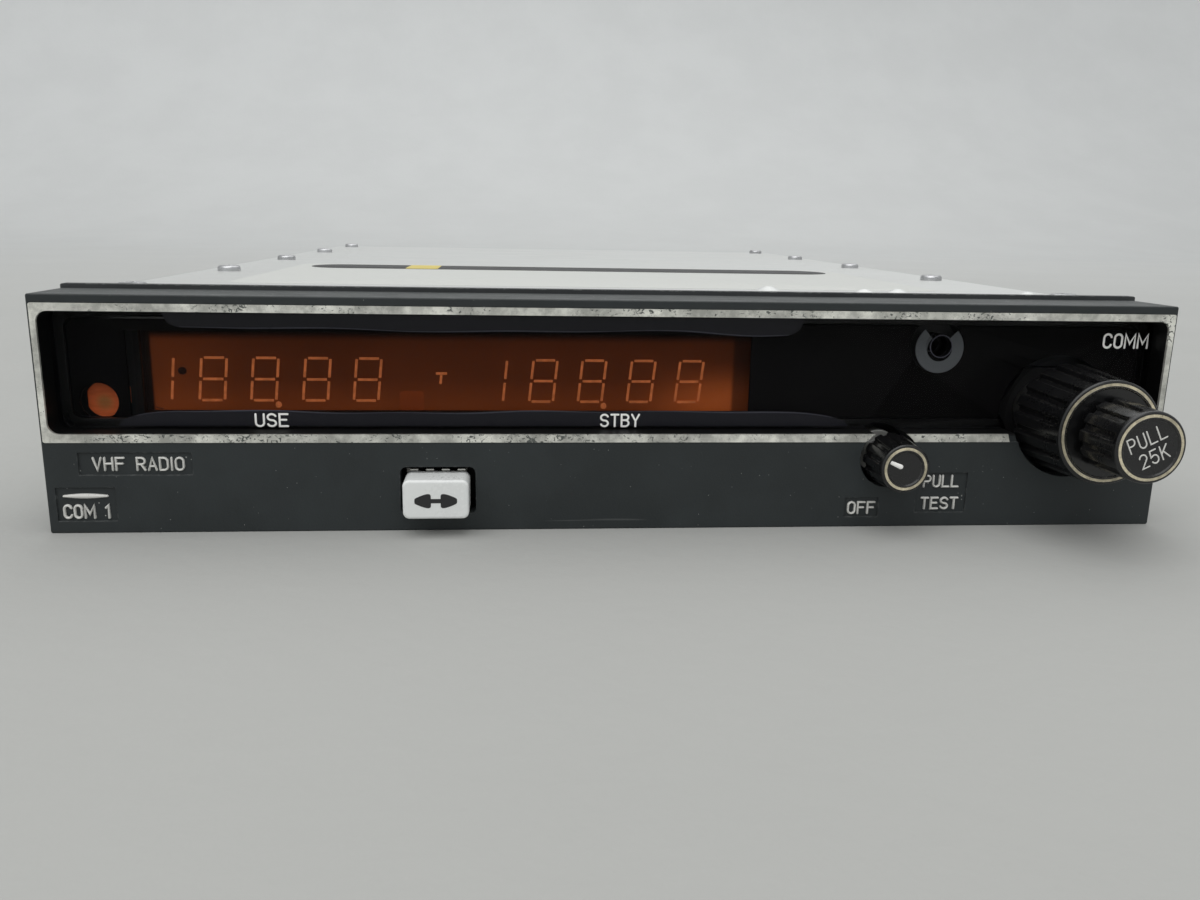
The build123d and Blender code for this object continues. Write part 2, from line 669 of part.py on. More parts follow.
def make_sub_panel():
    x = (-HALF_W, HALF_W)
    plate = slab(x, PANEL_Y, (0, BEZEL_H + PANEL_TOP_RISE), BEZEL_CORNER_R)
    lip_y = (PANEL_Y[0] + 0.1, PANEL_REAR + LIP_REACH)
    lips = [block((s * LIP_INNER, s * RAIL_INNER), lip_y, LIP_Z) for s in (-1, 1)]
    panel = joined([plate] + lips)
    through = (PANEL_Y[0] - 1, PANEL_REAR + 1)
    header_x = (HEADER_X - 5.0, HEADER_X + 5.0)
    cuts = [
        block((DISPLAY_X[0] + 1, DISPLAY_X[1] - 1), through, (PIN_TOP_Z - 1.2, PIN_TOP_Z + 0.7)),
        block(header_x, through, (HEADER_Z - 0.7, HEADER_Z + 0.6)),
        rod_y(VOLUME_X, through, VOLUME_Z, VOLUME_BUSH_R + SEAT),
        rod_y(TUNING_X, through, TUNING_Z, TUNING_BUSH_R + SEAT),
        rod_y(LOCK_X, through, LOCK_Z, LOCK_SCREW_R + RUN),
        rod_y(PHOTOCELL_X, through, PHOTOCELL_Z, 2.2),
    ]
    cuts += [rod_y(bx, through, BOSS_Z, BEZEL_SCREW_R + LOOSE) for bx in BOSS_X]
    cuts += rail_screw_rods(COVER_SCREW_R + SEAT)
    return panel - cuts


def rail_screw_rods(radius):
    """Rods along x where the side screws go, from inside the lip to outside the rail."""
    rods = []
    for side in (-1, 1):
        for z in RAIL_SCREW_Z:
            x = (side * (LIP_INNER - 0.5), side * HALF_CHASSIS)
            rods.append(rod_x(x, RAIL_SCREW_Y, z, radius))
    return rods


def make_rail_screws():
    screws = []
    for side in (-1, 1):
        for z in RAIL_SCREW_Z:
            shank_x = (side * (LIP_INNER - 0.5), side * HALF_CHASSIS)
            head_x = (side * HALF_CHASSIS, side * (HALF_CHASSIS + 1.0))
            shank = rod_x(shank_x, RAIL_SCREW_Y, z, COVER_SCREW_R)
            head = rod_x(head_x, RAIL_SCREW_Y, z, SCREW_HEAD_R)
            slot_x = (side * (HALF_CHASSIS + 0.5), side * (HALF_CHASSIS + 2))
            slot = block(slot_x, (RAIL_SCREW_Y - 0.3, RAIL_SCREW_Y + 0.3), (z - 3, z + 3))
            screws.append(joined([shank, head]) - slot)
    return group(screws)


def make_bezel_screws():
    screws = []
    for x in BOSS_X:
        shank = rod_y(x, (5.0, PANEL_REAR), BOSS_Z, BEZEL_SCREW_R)
        head = rod_y(x, (PANEL_REAR, PANEL_REAR + 0.8), BOSS_Z, 1.9)
        screws.append(joined([shank, head]))
    return group(screws)


def make_rail(side):
    """Channel rail: web outside, flanges to the inside at top, bottom and rear."""
    outer = side * HALF_CHASSIS
    inner = side * RAIL_INNER
    flange = side * (HALF_CHASSIS - RAIL_FLANGE)
    low = (RAIL_Z[0], RAIL_Z[0] + RAIL_T)
    high = (RAIL_Z[1] - RAIL_T, RAIL_Z[1])
    web = block((inner, outer), RAIL_Y, RAIL_Z)
    bottom = block((flange, outer), RAIL_Y, low)
    top = block((flange, outer), RAIL_Y, high)
    rear = block((flange, outer), (RAIL_Y[1] - RAIL_T, RAIL_Y[1]), RAIL_Z)
    rail = joined([web, bottom, top, rear])
    cuts = rail_screw_rods(COVER_SCREW_R + LOOSE)
    for y in cover_screw_rows():
        cuts.append(rod_z(side * COVER_SCREW_X, y, low[::-1], COVER_SCREW_R + SEAT))
        cuts.append(rod_z(side * COVER_SCREW_X, y, high, COVER_SCREW_R + SEAT))
    for z in REAR_SCREW_Z:
        y = (RAIL_Y[1] - RAIL_T - 1, RAIL_Y[1] + 1)
        cuts.append(rod_y(side * REAR_SCREW_X, y, z, COVER_SCREW_R + SEAT))
    return rail - cuts


def cover_screw_rows():
    return spread(RAIL_SCREW_Y, BODY_REAR - COVER_SCREW_END, COVER_SCREWS)


def cover_screw_places():
    return [(side * COVER_SCREW_X, y) for side in (-1, 1) for y in cover_screw_rows()]


def make_top_cover():
    x = (-HALF_CHASSIS, HALF_CHASSIS)
    z = (CHASSIS_TOP - COVER_T, CHASSIS_TOP)
    sheet = block(x, (PANEL_REAR, BODY_REAR), z)
    around = (z[0] - 1, z[1] + 1)
    holes = [rod_z(sx, sy, around, COVER_SCREW_R + LOOSE) for sx, sy in cover_screw_places()]
    return sheet - holes


def countersink(x, y, slack):
    """Cone of a flush screw head in the bottom cover, opening downwards."""
    cone = Cone(SCREW_HEAD_R + slack, COVER_SCREW_R + slack, COVER_T)
    return Pos(x, y, COVER_T / 2) * cone


def make_bottom_cover():
    sheet = block((-HALF_CHASSIS, HALF_CHASSIS), (PANEL_REAR, BODY_REAR), (0, COVER_T))
    holes = [countersink(sx, sy, SEAT) for sx, sy in cover_screw_places()]
    slot_x = (PAWL_X[0] - 0.6, PAWL_X[1] + 0.6)
    slot = block(slot_x, (LOCK_PIVOT_Y - 4, LOCK_PIVOT_Y + 23), (-1, COVER_T + 1))
    return sheet - (holes + [slot])


def make_top_cover_screws():
    screws = []
    for x, y in cover_screw_places():
        shank = rod_z(x, y, (CHASSIS_TOP - COVER_T - SCREW_THREAD_REACH, CHASSIS_TOP), COVER_SCREW_R)
        head = rod_z(x, y, (CHASSIS_TOP, CHASSIS_TOP + SCREW_HEAD_T), SCREW_HEAD_R)
        head = fillet(head.edges().sort_by(Axis.Z)[-1], 0.6)
        slot_z = (CHASSIS_TOP + 0.45, CHASSIS_TOP + 2)
        cross = [block((x - 1.3, x + 1.3), (y - 0.25, y + 0.25), slot_z)]
        cross.append(block((x - 0.25, x + 0.25), (y - 1.3, y + 1.3), slot_z))
        screws.append(joined([shank, head]) - cross)
    return group(screws)


def make_bottom_cover_screws():
    screws = []
    for x, y in cover_screw_places():
        head = countersink(x, y, 0)
        shank = rod_z(x, y, (COVER_T - 0.1, COVER_T + SCREW_THREAD_REACH), COVER_SCREW_R)
        slot = block((x - 3, x + 3), (y - 0.3, y + 0.3), (-1, 0.45))
        screws.append(joined([head, shank]) - slot)
    return group(screws)


def make_rear_panel():
    y = (BODY_REAR - REAR_PANEL_T, BODY_REAR)
    plate = block((-HALF_CHASSIS, HALF_CHASSIS), y, RAIL_Z)
    through = (y[0] - 1, y[1] + 1)
    cuts = [rod_y(ANTENNA_X, through, ANTENNA_Z, ANTENNA_BASE_R + SEAT)]
    inner_x = (CONNECTOR_X[0] + TONGUE_INSET, CONNECTOR_X[1] - TONGUE_INSET)
    cuts.append(block(inner_x, through, (TONGUE_Z[0] - 2.5, TONGUE_Z[1] + 2.5)))
    for side in (-1, 1):
        for z in REAR_SCREW_Z:
            cuts.append(rod_y(side * REAR_SCREW_X, through, z, COVER_SCREW_R + LOOSE))
    return plate - cuts


def rear_screw_seats():
    """Where each rear screw's head sits: on the heat sink's base or on the panel."""
    seats = []
    for z in REAR_SCREW_Z:
        seats.append((-REAR_SCREW_X, z, BODY_REAR + SINK_BASE_T))
        seats.append((REAR_SCREW_X, z, BODY_REAR))
    return seats


def make_rear_screws():
    screws = []
    for x, z, seat in rear_screw_seats():
        shank = rod_y(x, (RAIL_Y[1] - RAIL_T - 1, seat), z, COVER_SCREW_R)
        head = rod_y(x, (seat, seat + SCREW_HEAD_T), z, SCREW_HEAD_R)
        screws.append(joined([shank, head]))
    return group(screws)


def make_heat_sink():
    base_y = (BODY_REAR, BODY_REAR + SINK_BASE_T)
    sink = [block(SINK_X, base_y, SINK_Z)]
    fin_y = (base_y[1] - 0.1, SINK_REAR)
    for x in spread(SINK_X[0] + SINK_FIN_T / 2, SINK_X[1] - SINK_FIN_T / 2, SINK_FINS):
        sink.append(block((x - SINK_FIN_T / 2, x + SINK_FIN_T / 2), fin_y, SINK_Z))
    through = (BODY_REAR - 1, SINK_REAR + 1)
    cuts = []
    for z in REAR_SCREW_Z:
        cuts.append(rod_y(-REAR_SCREW_X, through, z, COVER_SCREW_R + LOOSE))
        cuts.append(rod_y(-REAR_SCREW_X, (base_y[1], SINK_REAR + 1), z, SCREW_HEAD_R + 3 * LOOSE))
    return joined(sink) - cuts


# --- electronics ---

def standoff_places():
    margin = 6.0
    xs = (MAIN_BOARD_X[0] + margin, MAIN_BOARD_X[1] - margin)
    ys = spread(MAIN_BOARD_Y[0] + margin, MAIN_BOARD_Y[1] - margin, 3)
    return [(x, y) for x in xs for y in ys]


def transistor_places():
    return (-62.0, -48.0, -34.0)


def transistor_legs(slack=0.0):
    legs = []
    leg_y = RAIL_Y[1] - 2.4
    low = MAIN_BOARD_Z - 0.8
    for x in transistor_places():
        for dx in (-2.54, 0, 2.54):
            legs.append(rod_z(x + dx, leg_y - 0.9, (low, 13.0), 0.4 + slack))
    return legs


def make_main_board():
    board = block(MAIN_BOARD_X, MAIN_BOARD_Y, (MAIN_BOARD_Z, MAIN_BOARD_TOP))
    around = (MAIN_BOARD_Z - 1, MAIN_BOARD_TOP + 1)
    holes = [rod_z(x, y, around, 1.5 + LOOSE) for x, y in standoff_places()]
    return board - (holes + transistor_legs(LOOSE))


def make_board_standoffs():
    """Snap-in posts: body under the board, waist through it and a head on top."""
    posts = []
    for x, y in standoff_places():
        body = rod_z(x, y, (COVER_T, MAIN_BOARD_Z), 3.0)
        waist = rod_z(x, y, (MAIN_BOARD_Z - 0.5, MAIN_BOARD_TOP + 0.5), 1.5)
        head = rod_z(x, y, (MAIN_BOARD_TOP, MAIN_BOARD_TOP + 1.5), 2.3)
        posts.append(joined([body, waist, head]))
    return group(posts)


def make_filter_capacitors():
    seat = MAIN_BOARD_TOP
    rear = MAIN_BOARD_Y[1] - 24.0
    cans = [(-56, rear, 6.3, 20.0), (-40, rear, 6.3, 20.0), (-24, rear, 5.0, 16.0), (-8, rear, 5.0, 16.0)]
    cans += [(22, 50, 4.0, 11.0), (22, 62, 4.0, 11.0)]
    return group(rod_z(x, y, (seat, seat + h), r) for x, y, r, h in cans)


def shield_can(x, y, z, height, wall=0.5):
    """Folded tin can, open underneath."""
    outer = block(x, y, (z, z + height))
    inner_x = (x[0] + wall, x[1] - wall)
    inner_y = (y[0] + wall, y[1] - wall)
    return outer - block(inner_x, inner_y, (z - 1, z + height - wall))


def make_shield_cans():
    """Three compartments and a row of tuned-coil cans on the main board, one on the floor."""
    seat = MAIN_BOARD_TOP
    cans = [
        shield_can((-62, -34), (48, 100), seat, 16.0),
        shield_can((-28, 14), (48, 84), seat, 14.0),
        shield_can((-58, -30), (110, MAIN_BOARD_Y[1] - 40.0), seat, 16.0),
        shield_can((40, 68), (44, 98), COVER_T, 20.0),
    ]
    row = spread(96, MAIN_BOARD_Y[1] - 66.0, 5)
    half = 0.28 * (row[1] - row[0])
    for y in row:
        cans.append(shield_can((16, 26), (y - half, y + half), seat, 12.0))
    return group(cans)


def make_integrated_circuits():
    """Dual in-line packages on the main board and driver packages behind the display."""
    seat = MAIN_BOARD_TOP
    chips = []
    for y in spread(94, MAIN_BOARD_Y[1] - 42.0, 7):
        chips.append(block((-16, 2), (y - 3.2, y + 3.2), (seat, seat + 3.6)))
    drive_y = (FRONT_BOARD_Y[1], FRONT_BOARD_Y[1] + 3.6)
    for x in spread(-56, 12, 4):
        chips.append(block((x - 9, x + 9), drive_y, (19.5, 25.9)))
    return group(chips)


def make_output_transistors():
    face = RAIL_Y[1]
    packages = []
    for index, x in enumerate(transistor_places()):
        body = block((x - 5, x + 5), (face - 4.4, face), (12.5, 22.0))
        tab = block((x - 5, x + 5), (face - 1.3, face), (21.9, 28.0))
        legs = transistor_legs()[3 * index:3 * index + 3]
        packages.append(joined([body, tab] + legs))
    return group(packages)


def make_antenna_jack():
    """Bayonet shell: flange inside the panel, base through it, neck with two lugs, lip."""
    inner_r, outer_r = ANTENNA_SHELL_R
    front = BODY_REAR - REAR_PANEL_T
    end = BODY_REAR + ANTENNA_REACH
    flange = rod_y(ANTENNA_X, (front - 2, front), ANTENNA_Z, outer_r + 2.2)
    base = rod_y(ANTENNA_X, (front - 2, BODY_REAR + 2), ANTENNA_Z, ANTENNA_BASE_R)
    neck = rod_y(ANTENNA_X, (BODY_REAR, end - ANTENNA_LIP + 0.1), ANTENNA_Z, ANTENNA_NECK_R)
    lip = rod_y(ANTENNA_X, (end - ANTENNA_LIP, end), ANTENNA_Z, outer_r)
    lug_x = (ANTENNA_X - outer_r - 0.9, ANTENNA_X + outer_r + 0.9)
    lugs = rod_x(lug_x, end - ANTENNA_LIP - 0.45 - ANTENNA_LUG_R, ANTENNA_Z, ANTENNA_LUG_R)
    bore = rod_y(ANTENNA_X, (front - 3, end + 1), ANTENNA_Z, inner_r)
    return joined([flange, base, neck, lip, lugs]) - bore


def make_antenna_insulator():
    r = ANTENNA_SHELL_R[0] - SEAT
    y = (BODY_REAR - REAR_PANEL_T - 2, BODY_REAR + 4)
    post = rod_y(ANTENNA_X, (BODY_REAR, BODY_REAR + ANTENNA_REACH - 1), ANTENNA_Z, 1.9)
    sleeve = joined([rod_y(ANTENNA_X, y, ANTENNA_Z, r), post])
    return sleeve - rod_y(ANTENNA_X, (y[0] - 1, BODY_REAR + ANTENNA_REACH), ANTENNA_Z, 1.0 + SEAT)


def make_antenna_contact():
    y = (BODY_REAR - REAR_PANEL_T - 5, BODY_REAR + ANTENNA_REACH - 1.5)
    pin = rod_y(ANTENNA_X, y, ANTENNA_Z, 1.0)
    socket_y = (y[1] - 6, y[1] + 1)
    return pin - rod_y(ANTENNA_X, socket_y, ANTENNA_Z, 0.55)


def tongue_x():
    return (CONNECTOR_X[0] + TONGUE_INSET + 1, CONNECTOR_X[1] - TONGUE_INSET - 1)


def make_rear_connector():
    flange_y = (BODY_REAR, BODY_REAR + CONNECTOR_FLANGE_T)
    flange = block(CONNECTOR_X, flange_y, CONNECTOR_Z)
    tongue_y = (BODY_REAR - 3, flange_y[1] + TONGUE_REACH)
    return joined([flange, block(tongue_x(), tongue_y, TONGUE_Z)])


def make_rear_contacts():
    """Two rows of contact strips on the tongue's upper and lower faces."""
    y = (BODY_REAR + CONNECTOR_FLANGE_T + 0.4, BODY_REAR + CONNECTOR_FLANGE_T + TONGUE_REACH - 0.6)
    low, high = tongue_x()
    strips = []
    for x in spread(low + 1.5, high - 1.5, CONTACTS):
        span = (x - CONTACT_W / 2, x + CONTACT_W / 2)
        strips.append(block(span, y, (TONGUE_Z[1], TONGUE_Z[1] + CONTACT_T)))
        strips.append(block(span, y, (TONGUE_Z[0] - CONTACT_T, TONGUE_Z[0])))
    return group(strips)


# --- rack lock ---

def make_jack_screw():
    """Long screw with a socket head behind the lens; its threaded rear end drives the nut."""
    head = rod_y(LOCK_X, LOCK_HEAD_Y, LOCK_Z, LOCK_HEAD_R)
    rod = rod_y(LOCK_X, (LOCK_HEAD_Y[1] - 0.5, LOCK_SCREW_REAR), LOCK_Z, LOCK_SCREW_R)
    socket = hex_y(LOCK_X, (LOCK_HEAD_Y[0] - 1, LOCK_HEAD_Y[0] + KEY_DEPTH), LOCK_Z, KEY_ACROSS_FLATS)
    return joined([head, rod]) - socket


def make_lock_nut():
    """Block on the screw's thread, with a follower pin in the pawl's slot."""
    middle = LOCK_PIVOT_Y - LOCK_TRAVEL / 2
    body = block(NUT_X, (middle - NUT_LENGTH / 2, middle + NUT_LENGTH / 2), NUT_Z)
    follower = rod_x((NUT_X[1] - 0.5, PAWL_X[1] + 0.7), middle, LOCK_Z, FOLLOWER_R)
    bore = rod_y(LOCK_X, (middle - NUT_LENGTH, middle + NUT_LENGTH), LOCK_Z, LOCK_SCREW_R + RUN)
    return joined([body, follower]) - bore


def pawl_arm(angle, length, width):
    """Round-ended arm from the pivot, angle degrees from +z towards +y."""
    y = sin(radians(angle)) * length
    z = cos(radians(angle)) * length
    bar = Box(PAWL_T, width, length)
    middle = ((PAWL_X[0] + PAWL_X[1]) / 2, LOCK_PIVOT_Y + y / 2, PIVOT_Z + z / 2)
    tip = rod_x(PAWL_X, LOCK_PIVOT_Y + y, PIVOT_Z + z, width / 2)
    return [Pos(*middle) * Rot(-angle, 0, 0) * bar, tip]


def make_lock_pawl():
    """Bell crank: a slotted upper arm moved by the nut, and a lower hook that drops out."""
    slot_lean = -LOCK_SWING / 2
    hub = rod_x(PAWL_X, LOCK_PIVOT_Y, PIVOT_Z, 3.2)
    arms = pawl_arm(slot_lean, LOCK_ARM + 0.6, 5.0)
    arms += pawl_arm(180 - HOOK_REST_ANGLE, HOOK_RADIUS - 2.0, 4.0)
    pawl = joined([hub] + arms)
    slot_r = FOLLOWER_R + 0.12
    reach = 0.9
    middle_y = LOCK_PIVOT_Y + sin(radians(slot_lean)) * LOCK_ARM / cos(radians(slot_lean))
    slot = Rot(-slot_lean, 0, 0) * Box(2 * PAWL_T, 2 * slot_r, 2 * reach)
    ends = []
    for side in (-1, 1):
        dy = sin(radians(slot_lean)) * reach * side
        dz = cos(radians(slot_lean)) * reach * side
        wide = (PAWL_X[0] - 1, PAWL_X[1] + 1)
        ends.append(rod_x(wide, middle_y + dy, LOCK_Z + dz, slot_r))
    place = Pos((PAWL_X[0] + PAWL_X[1]) / 2, middle_y, LOCK_Z)
    bore = rod_x((PAWL_X[0] - 1, PAWL_X[1] + 1), LOCK_PIVOT_Y, PIVOT_Z, PIVOT_R + RUN)
    return pawl - ([place * slot, bore] + ends)


def make_pawl_pin():
    pin = rod_x((PAWL_X[0] - 0.8, PLATE_X[1]), LOCK_PIVOT_Y, PIVOT_Z, PIVOT_R)
    head = rod_x((PLATE_X[1], PLATE_X[1] + 1.0), LOCK_PIVOT_Y, PIVOT_Z, PIVOT_R + 1.0)
    return joined([pin, head])


def make_lock_bracket():
    """Upright plate on a foot, with two bent tabs that carry the screw."""
    foot_t = 1.5
    plate = block(PLATE_X, LOCK_BRACKET_Y, (COVER_T, 29.0))
    foot = block((PLATE_X[0], LOCK_FOOT_X), LOCK_BRACKET_Y, (COVER_T, COVER_T + foot_t))
    pieces = [plate, foot]
    bores = [rod_x((PLATE_X[0] - 1, PLATE_X[1] + 1), LOCK_PIVOT_Y, PIVOT_Z, PIVOT_R + SEAT)]
    front, rear = LOCK_BRACKET_Y
    for y in ((front, front + foot_t), (rear - foot_t, rear)):
        pieces.append(block((LOCK_TAB_X, PLATE_X[1]), y, (LOCK_TAB_Z, 29.0)))
        bores.append(rod_y(LOCK_X, (y[0] - 1, y[1] + 1), LOCK_Z, LOCK_SCREW_R + RUN))
    return joined(pieces) - bores


NODES = {
    "bezel": make_bezel,
    "window_trim": make_window_trim,
    "lens": make_lens,
    "display_mask": make_display_mask,
    "display_front_glass": make_front_glass,
    "display_back_glass": make_back_glass,
    "display_seal": make_glass_seal,
    "display_cathodes": make_cathodes,
    "connector_pins": make_connector_pins,
    "panel_header": make_panel_header,
    "photocell": make_photocell,
    "display_board": make_display_board,
    "transfer_button": make_transfer_button,
    "transfer_switch": make_transfer_switch,
    "transfer_spring": make_transfer_spring,
    "volume_knob": make_volume_knob,
    "volume_knob_ring": lambda: knob_ring(VOLUME_X, VOLUME_Z, VOLUME_RING_R, VOLUME_KNOB_Y[1]),
    "volume_shaft": make_volume_shaft,
    "volume_pull_collar": lambda: pull_collar(VOLUME_X, VOLUME_Z, VOLUME_BODY_Y),
    "volume_control": make_volume_control,
    "volume_nut": lambda: panel_nut(VOLUME_X, VOLUME_Z, 8.0, 1.6, VOLUME_BUSH_R),
    "outer_knob": make_outer_knob,
    "outer_knob_ring": lambda: knob_ring(TUNING_X, TUNING_Z, OUTER_RING_R, OUTER_KNOB_Y[1]),
    "outer_shaft": make_outer_shaft,
    "outer_setscrew": make_outer_setscrew,
    "inner_knob": make_inner_knob,
    "inner_knob_ring": lambda: knob_ring(TUNING_X, TUNING_Z, INNER_RING_R, INNER_KNOB_Y[1]),
    "inner_shaft": make_inner_shaft,
    "inner_setscrew": make_inner_setscrew,
    "tuning_pull_collar": lambda: pull_collar(TUNING_X, TUNING_Z, TUNING_BODY_Y),
    "tuning_encoder": make_tuning_encoder,
    "tuning_nut": lambda: panel_nut(TUNING_X, TUNING_Z, 12.7, 2.0, TUNING_BUSH_R),
    "sub_panel": make_sub_panel,
    "bezel_screws": make_bezel_screws,
    "left_rail": lambda: make_rail(-1),
    "right_rail": lambda: make_rail(1),
    "rail_screws": make_rail_screws,
    "top_cover": make_top_cover,
    "bottom_cover": make_bottom_cover,
    "top_cover_screws": make_top_cover_screws,
    "bottom_cover_screws": make_bottom_cover_screws,
    "rear_panel": make_rear_panel,
    "rear_screws": make_rear_screws,
    "heat_sink": make_heat_sink,
    "main_board": make_main_board,
    "board_standoffs": make_board_standoffs,
    "filter_capacitors": make_filter_capacitors,
    "shield_cans": make_shield_cans,
    "integrated_circuits": make_integrated_circuits,
    "output_transistors": make_output_transistors,
    "antenna_jack": make_antenna_jack,
    "antenna_insulator": make_antenna_insulator,
    "antenna_contact": make_antenna_contact,
    "rear_connector": make_rear_connector,
    "rear_contacts": make_rear_contacts,
    "jack_screw": make_jack_screw,
    "lock_nut": make_lock_nut,
    "lock_pawl": make_lock_pawl,
    "pawl_pin": make_pawl_pin,
    "lock_bracket": make_lock_bracket,
}

os.makedirs("parts", exist_ok=True)
for name, make in NODES.items():
    export_step(FRAME_SHIFT * make(), f"parts/{name}.step")
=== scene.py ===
import logging
import math
from dataclasses import dataclass, field
from enum import Enum
from typing import Callable, Dict, List, Sequence, Tuple

import bmesh
import bpy
import numpy as np
from mathutils import Matrix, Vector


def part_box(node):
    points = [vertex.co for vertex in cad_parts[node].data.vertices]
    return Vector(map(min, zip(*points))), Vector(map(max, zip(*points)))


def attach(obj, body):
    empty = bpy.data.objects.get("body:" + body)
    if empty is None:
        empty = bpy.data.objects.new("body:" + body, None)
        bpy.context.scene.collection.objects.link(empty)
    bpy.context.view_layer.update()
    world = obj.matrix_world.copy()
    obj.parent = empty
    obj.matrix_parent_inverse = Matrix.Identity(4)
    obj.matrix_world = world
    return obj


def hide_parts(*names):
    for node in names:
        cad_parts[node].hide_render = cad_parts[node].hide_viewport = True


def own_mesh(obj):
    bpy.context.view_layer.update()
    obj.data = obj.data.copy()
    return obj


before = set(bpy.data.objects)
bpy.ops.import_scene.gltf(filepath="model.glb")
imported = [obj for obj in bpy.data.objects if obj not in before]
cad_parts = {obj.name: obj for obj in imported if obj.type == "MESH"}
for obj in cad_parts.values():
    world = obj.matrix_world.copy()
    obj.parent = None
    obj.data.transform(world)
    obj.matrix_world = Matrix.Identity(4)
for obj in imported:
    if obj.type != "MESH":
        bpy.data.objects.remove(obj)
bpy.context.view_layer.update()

MM = 0.001
log = logging.getLogger("transceiver")

Rgb = Tuple[float, float, float]
Box2 = Tuple[float, float, float, float]


def node_low(node: str, axis: int) -> float:
    """Lowest coordinate of a CAD node along an axis, in millimetres."""
    return float(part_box(node)[0][axis]) / MM


def node_high(node: str, axis: int) -> float:
    """Highest coordinate of a CAD node along an axis, in millimetres."""
    return float(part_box(node)[1][axis]) / MM


# --- node trees ---

class NodeSheet:
    """Short calls for adding and joining nodes in one tree."""

    def __init__(self, tree: bpy.types.NodeTree) -> None:
        """Keep the tree that the calls add to."""
        self.tree = tree

    def put(self, target: bpy.types.NodeSocket, value: object) -> None:
        """Join a socket to the target, or set the target to a plain value."""
        if isinstance(value, bpy.types.NodeSocket):
            self.tree.links.new(value, target)
        elif isinstance(value, tuple) and len(value) == 3 and target.type == "RGBA":
            target.default_value = (*value, 1.0)
        else:
            target.default_value = value

    def node(self, kind: str, **inputs: object) -> bpy.types.Node:
        """Add a node and fill its named inputs.

        Args:
            kind: Type name of the node, without the ShaderNode prefix.
            inputs: Values or sockets; an underscore stands for a space.

        Returns:
            The new node.
        """
        made = self.tree.nodes.new("ShaderNode" + kind)
        for key, value in inputs.items():
            self.put(made.inputs[key.replace("_", " ")], value)
        return made

    def place(self) -> bpy.types.NodeSocket:
        """Object coordinates, in metres of the shared frame."""
        return self.node("TexCoord").outputs["Object"]

    def mapped(self, scale: Rgb, turn: Rgb = (0.0, 0.0, 0.0),
               shift: Rgb = (0.0, 0.0, 0.0)) -> bpy.types.NodeSocket:
        """Object coordinates stretched, turned and shifted."""
        made = self.node("Mapping", Vector=self.place())
        made.inputs["Scale"].default_value = scale
        made.inputs["Rotation"].default_value = turn
        made.inputs["Location"].default_value = shift
        return made.outputs["Vector"]

    def axis(self, name: str) -> bpy.types.NodeSocket:
        """One object coordinate, named X, Y or Z, in metres."""
        return self.node("SeparateXYZ", Vector=self.place()).outputs[name]

    def noise(self, scale: object, detail: float = 3.0, rough: float = 0.5,
              vector: object = None) -> bpy.types.NodeSocket:
        """Noise value between about 0.25 and 0.75."""
        made = self.node("TexNoise", Scale=scale, Detail=detail, Roughness=rough)
        self.put(made.inputs["Vector"], vector if vector is not None else self.place())
        return made.outputs["Fac"]

    def cells(self, scale: object, feature: str = "F1", output: str = "Distance",
              vector: object = None) -> bpy.types.NodeSocket:
        """Voronoi cells: distance to the cell's point, or the cell's own colour."""
        made = self.tree.nodes.new("ShaderNodeTexVoronoi")
        made.feature = feature
        self.put(made.inputs["Scale"], scale)
        self.put(made.inputs["Vector"], vector if vector is not None else self.place())
        return made.outputs[output]

    def sum(self, operation: str, first: object, second: object = 0.0,
            third: object = 0.0) -> bpy.types.NodeSocket:
        """A Math node's result."""
        made = self.tree.nodes.new("ShaderNodeMath")
        made.operation = operation
        for socket, value in zip(made.inputs, (first, second, third)):
            self.put(socket, value)
        return made.outputs[0]

    def span(self, value: object, low: object, high: object, start: float = 0.0,
             end: float = 1.0) -> bpy.types.NodeSocket:
        """Smooth step of a value: start below low, end above high."""
        made = self.tree.nodes.new("ShaderNodeMapRange")
        made.interpolation_type = "SMOOTHSTEP"
        for key, item in (("Value", value), ("From Min", low), ("From Max", high), ("To Min", start),
                          ("To Max", end)):
            self.put(made.inputs[key], item)
        return made.outputs["Result"]

    def blend(self, mask: object, below: object, above: object) -> bpy.types.NodeSocket:
        """Colour that goes from below to above with the mask."""
        made = self.tree.nodes.new("ShaderNodeMix")
        made.data_type = "RGBA"
        self.put(made.inputs[0], mask)
        self.put(made.inputs[6], below)
        self.put(made.inputs[7], above)
        return made.outputs[2]

    def bump(self, height: object, depth: float, strength: float = 1.0,
             under: object = None) -> bpy.types.NodeSocket:
        """Normal pushed by a height, depth in metres."""
        made = self.node("Bump", Strength=strength, Distance=depth, Height=height)
        if under is not None:
            self.put(made.inputs["Normal"], under)
        return made.outputs["Normal"]


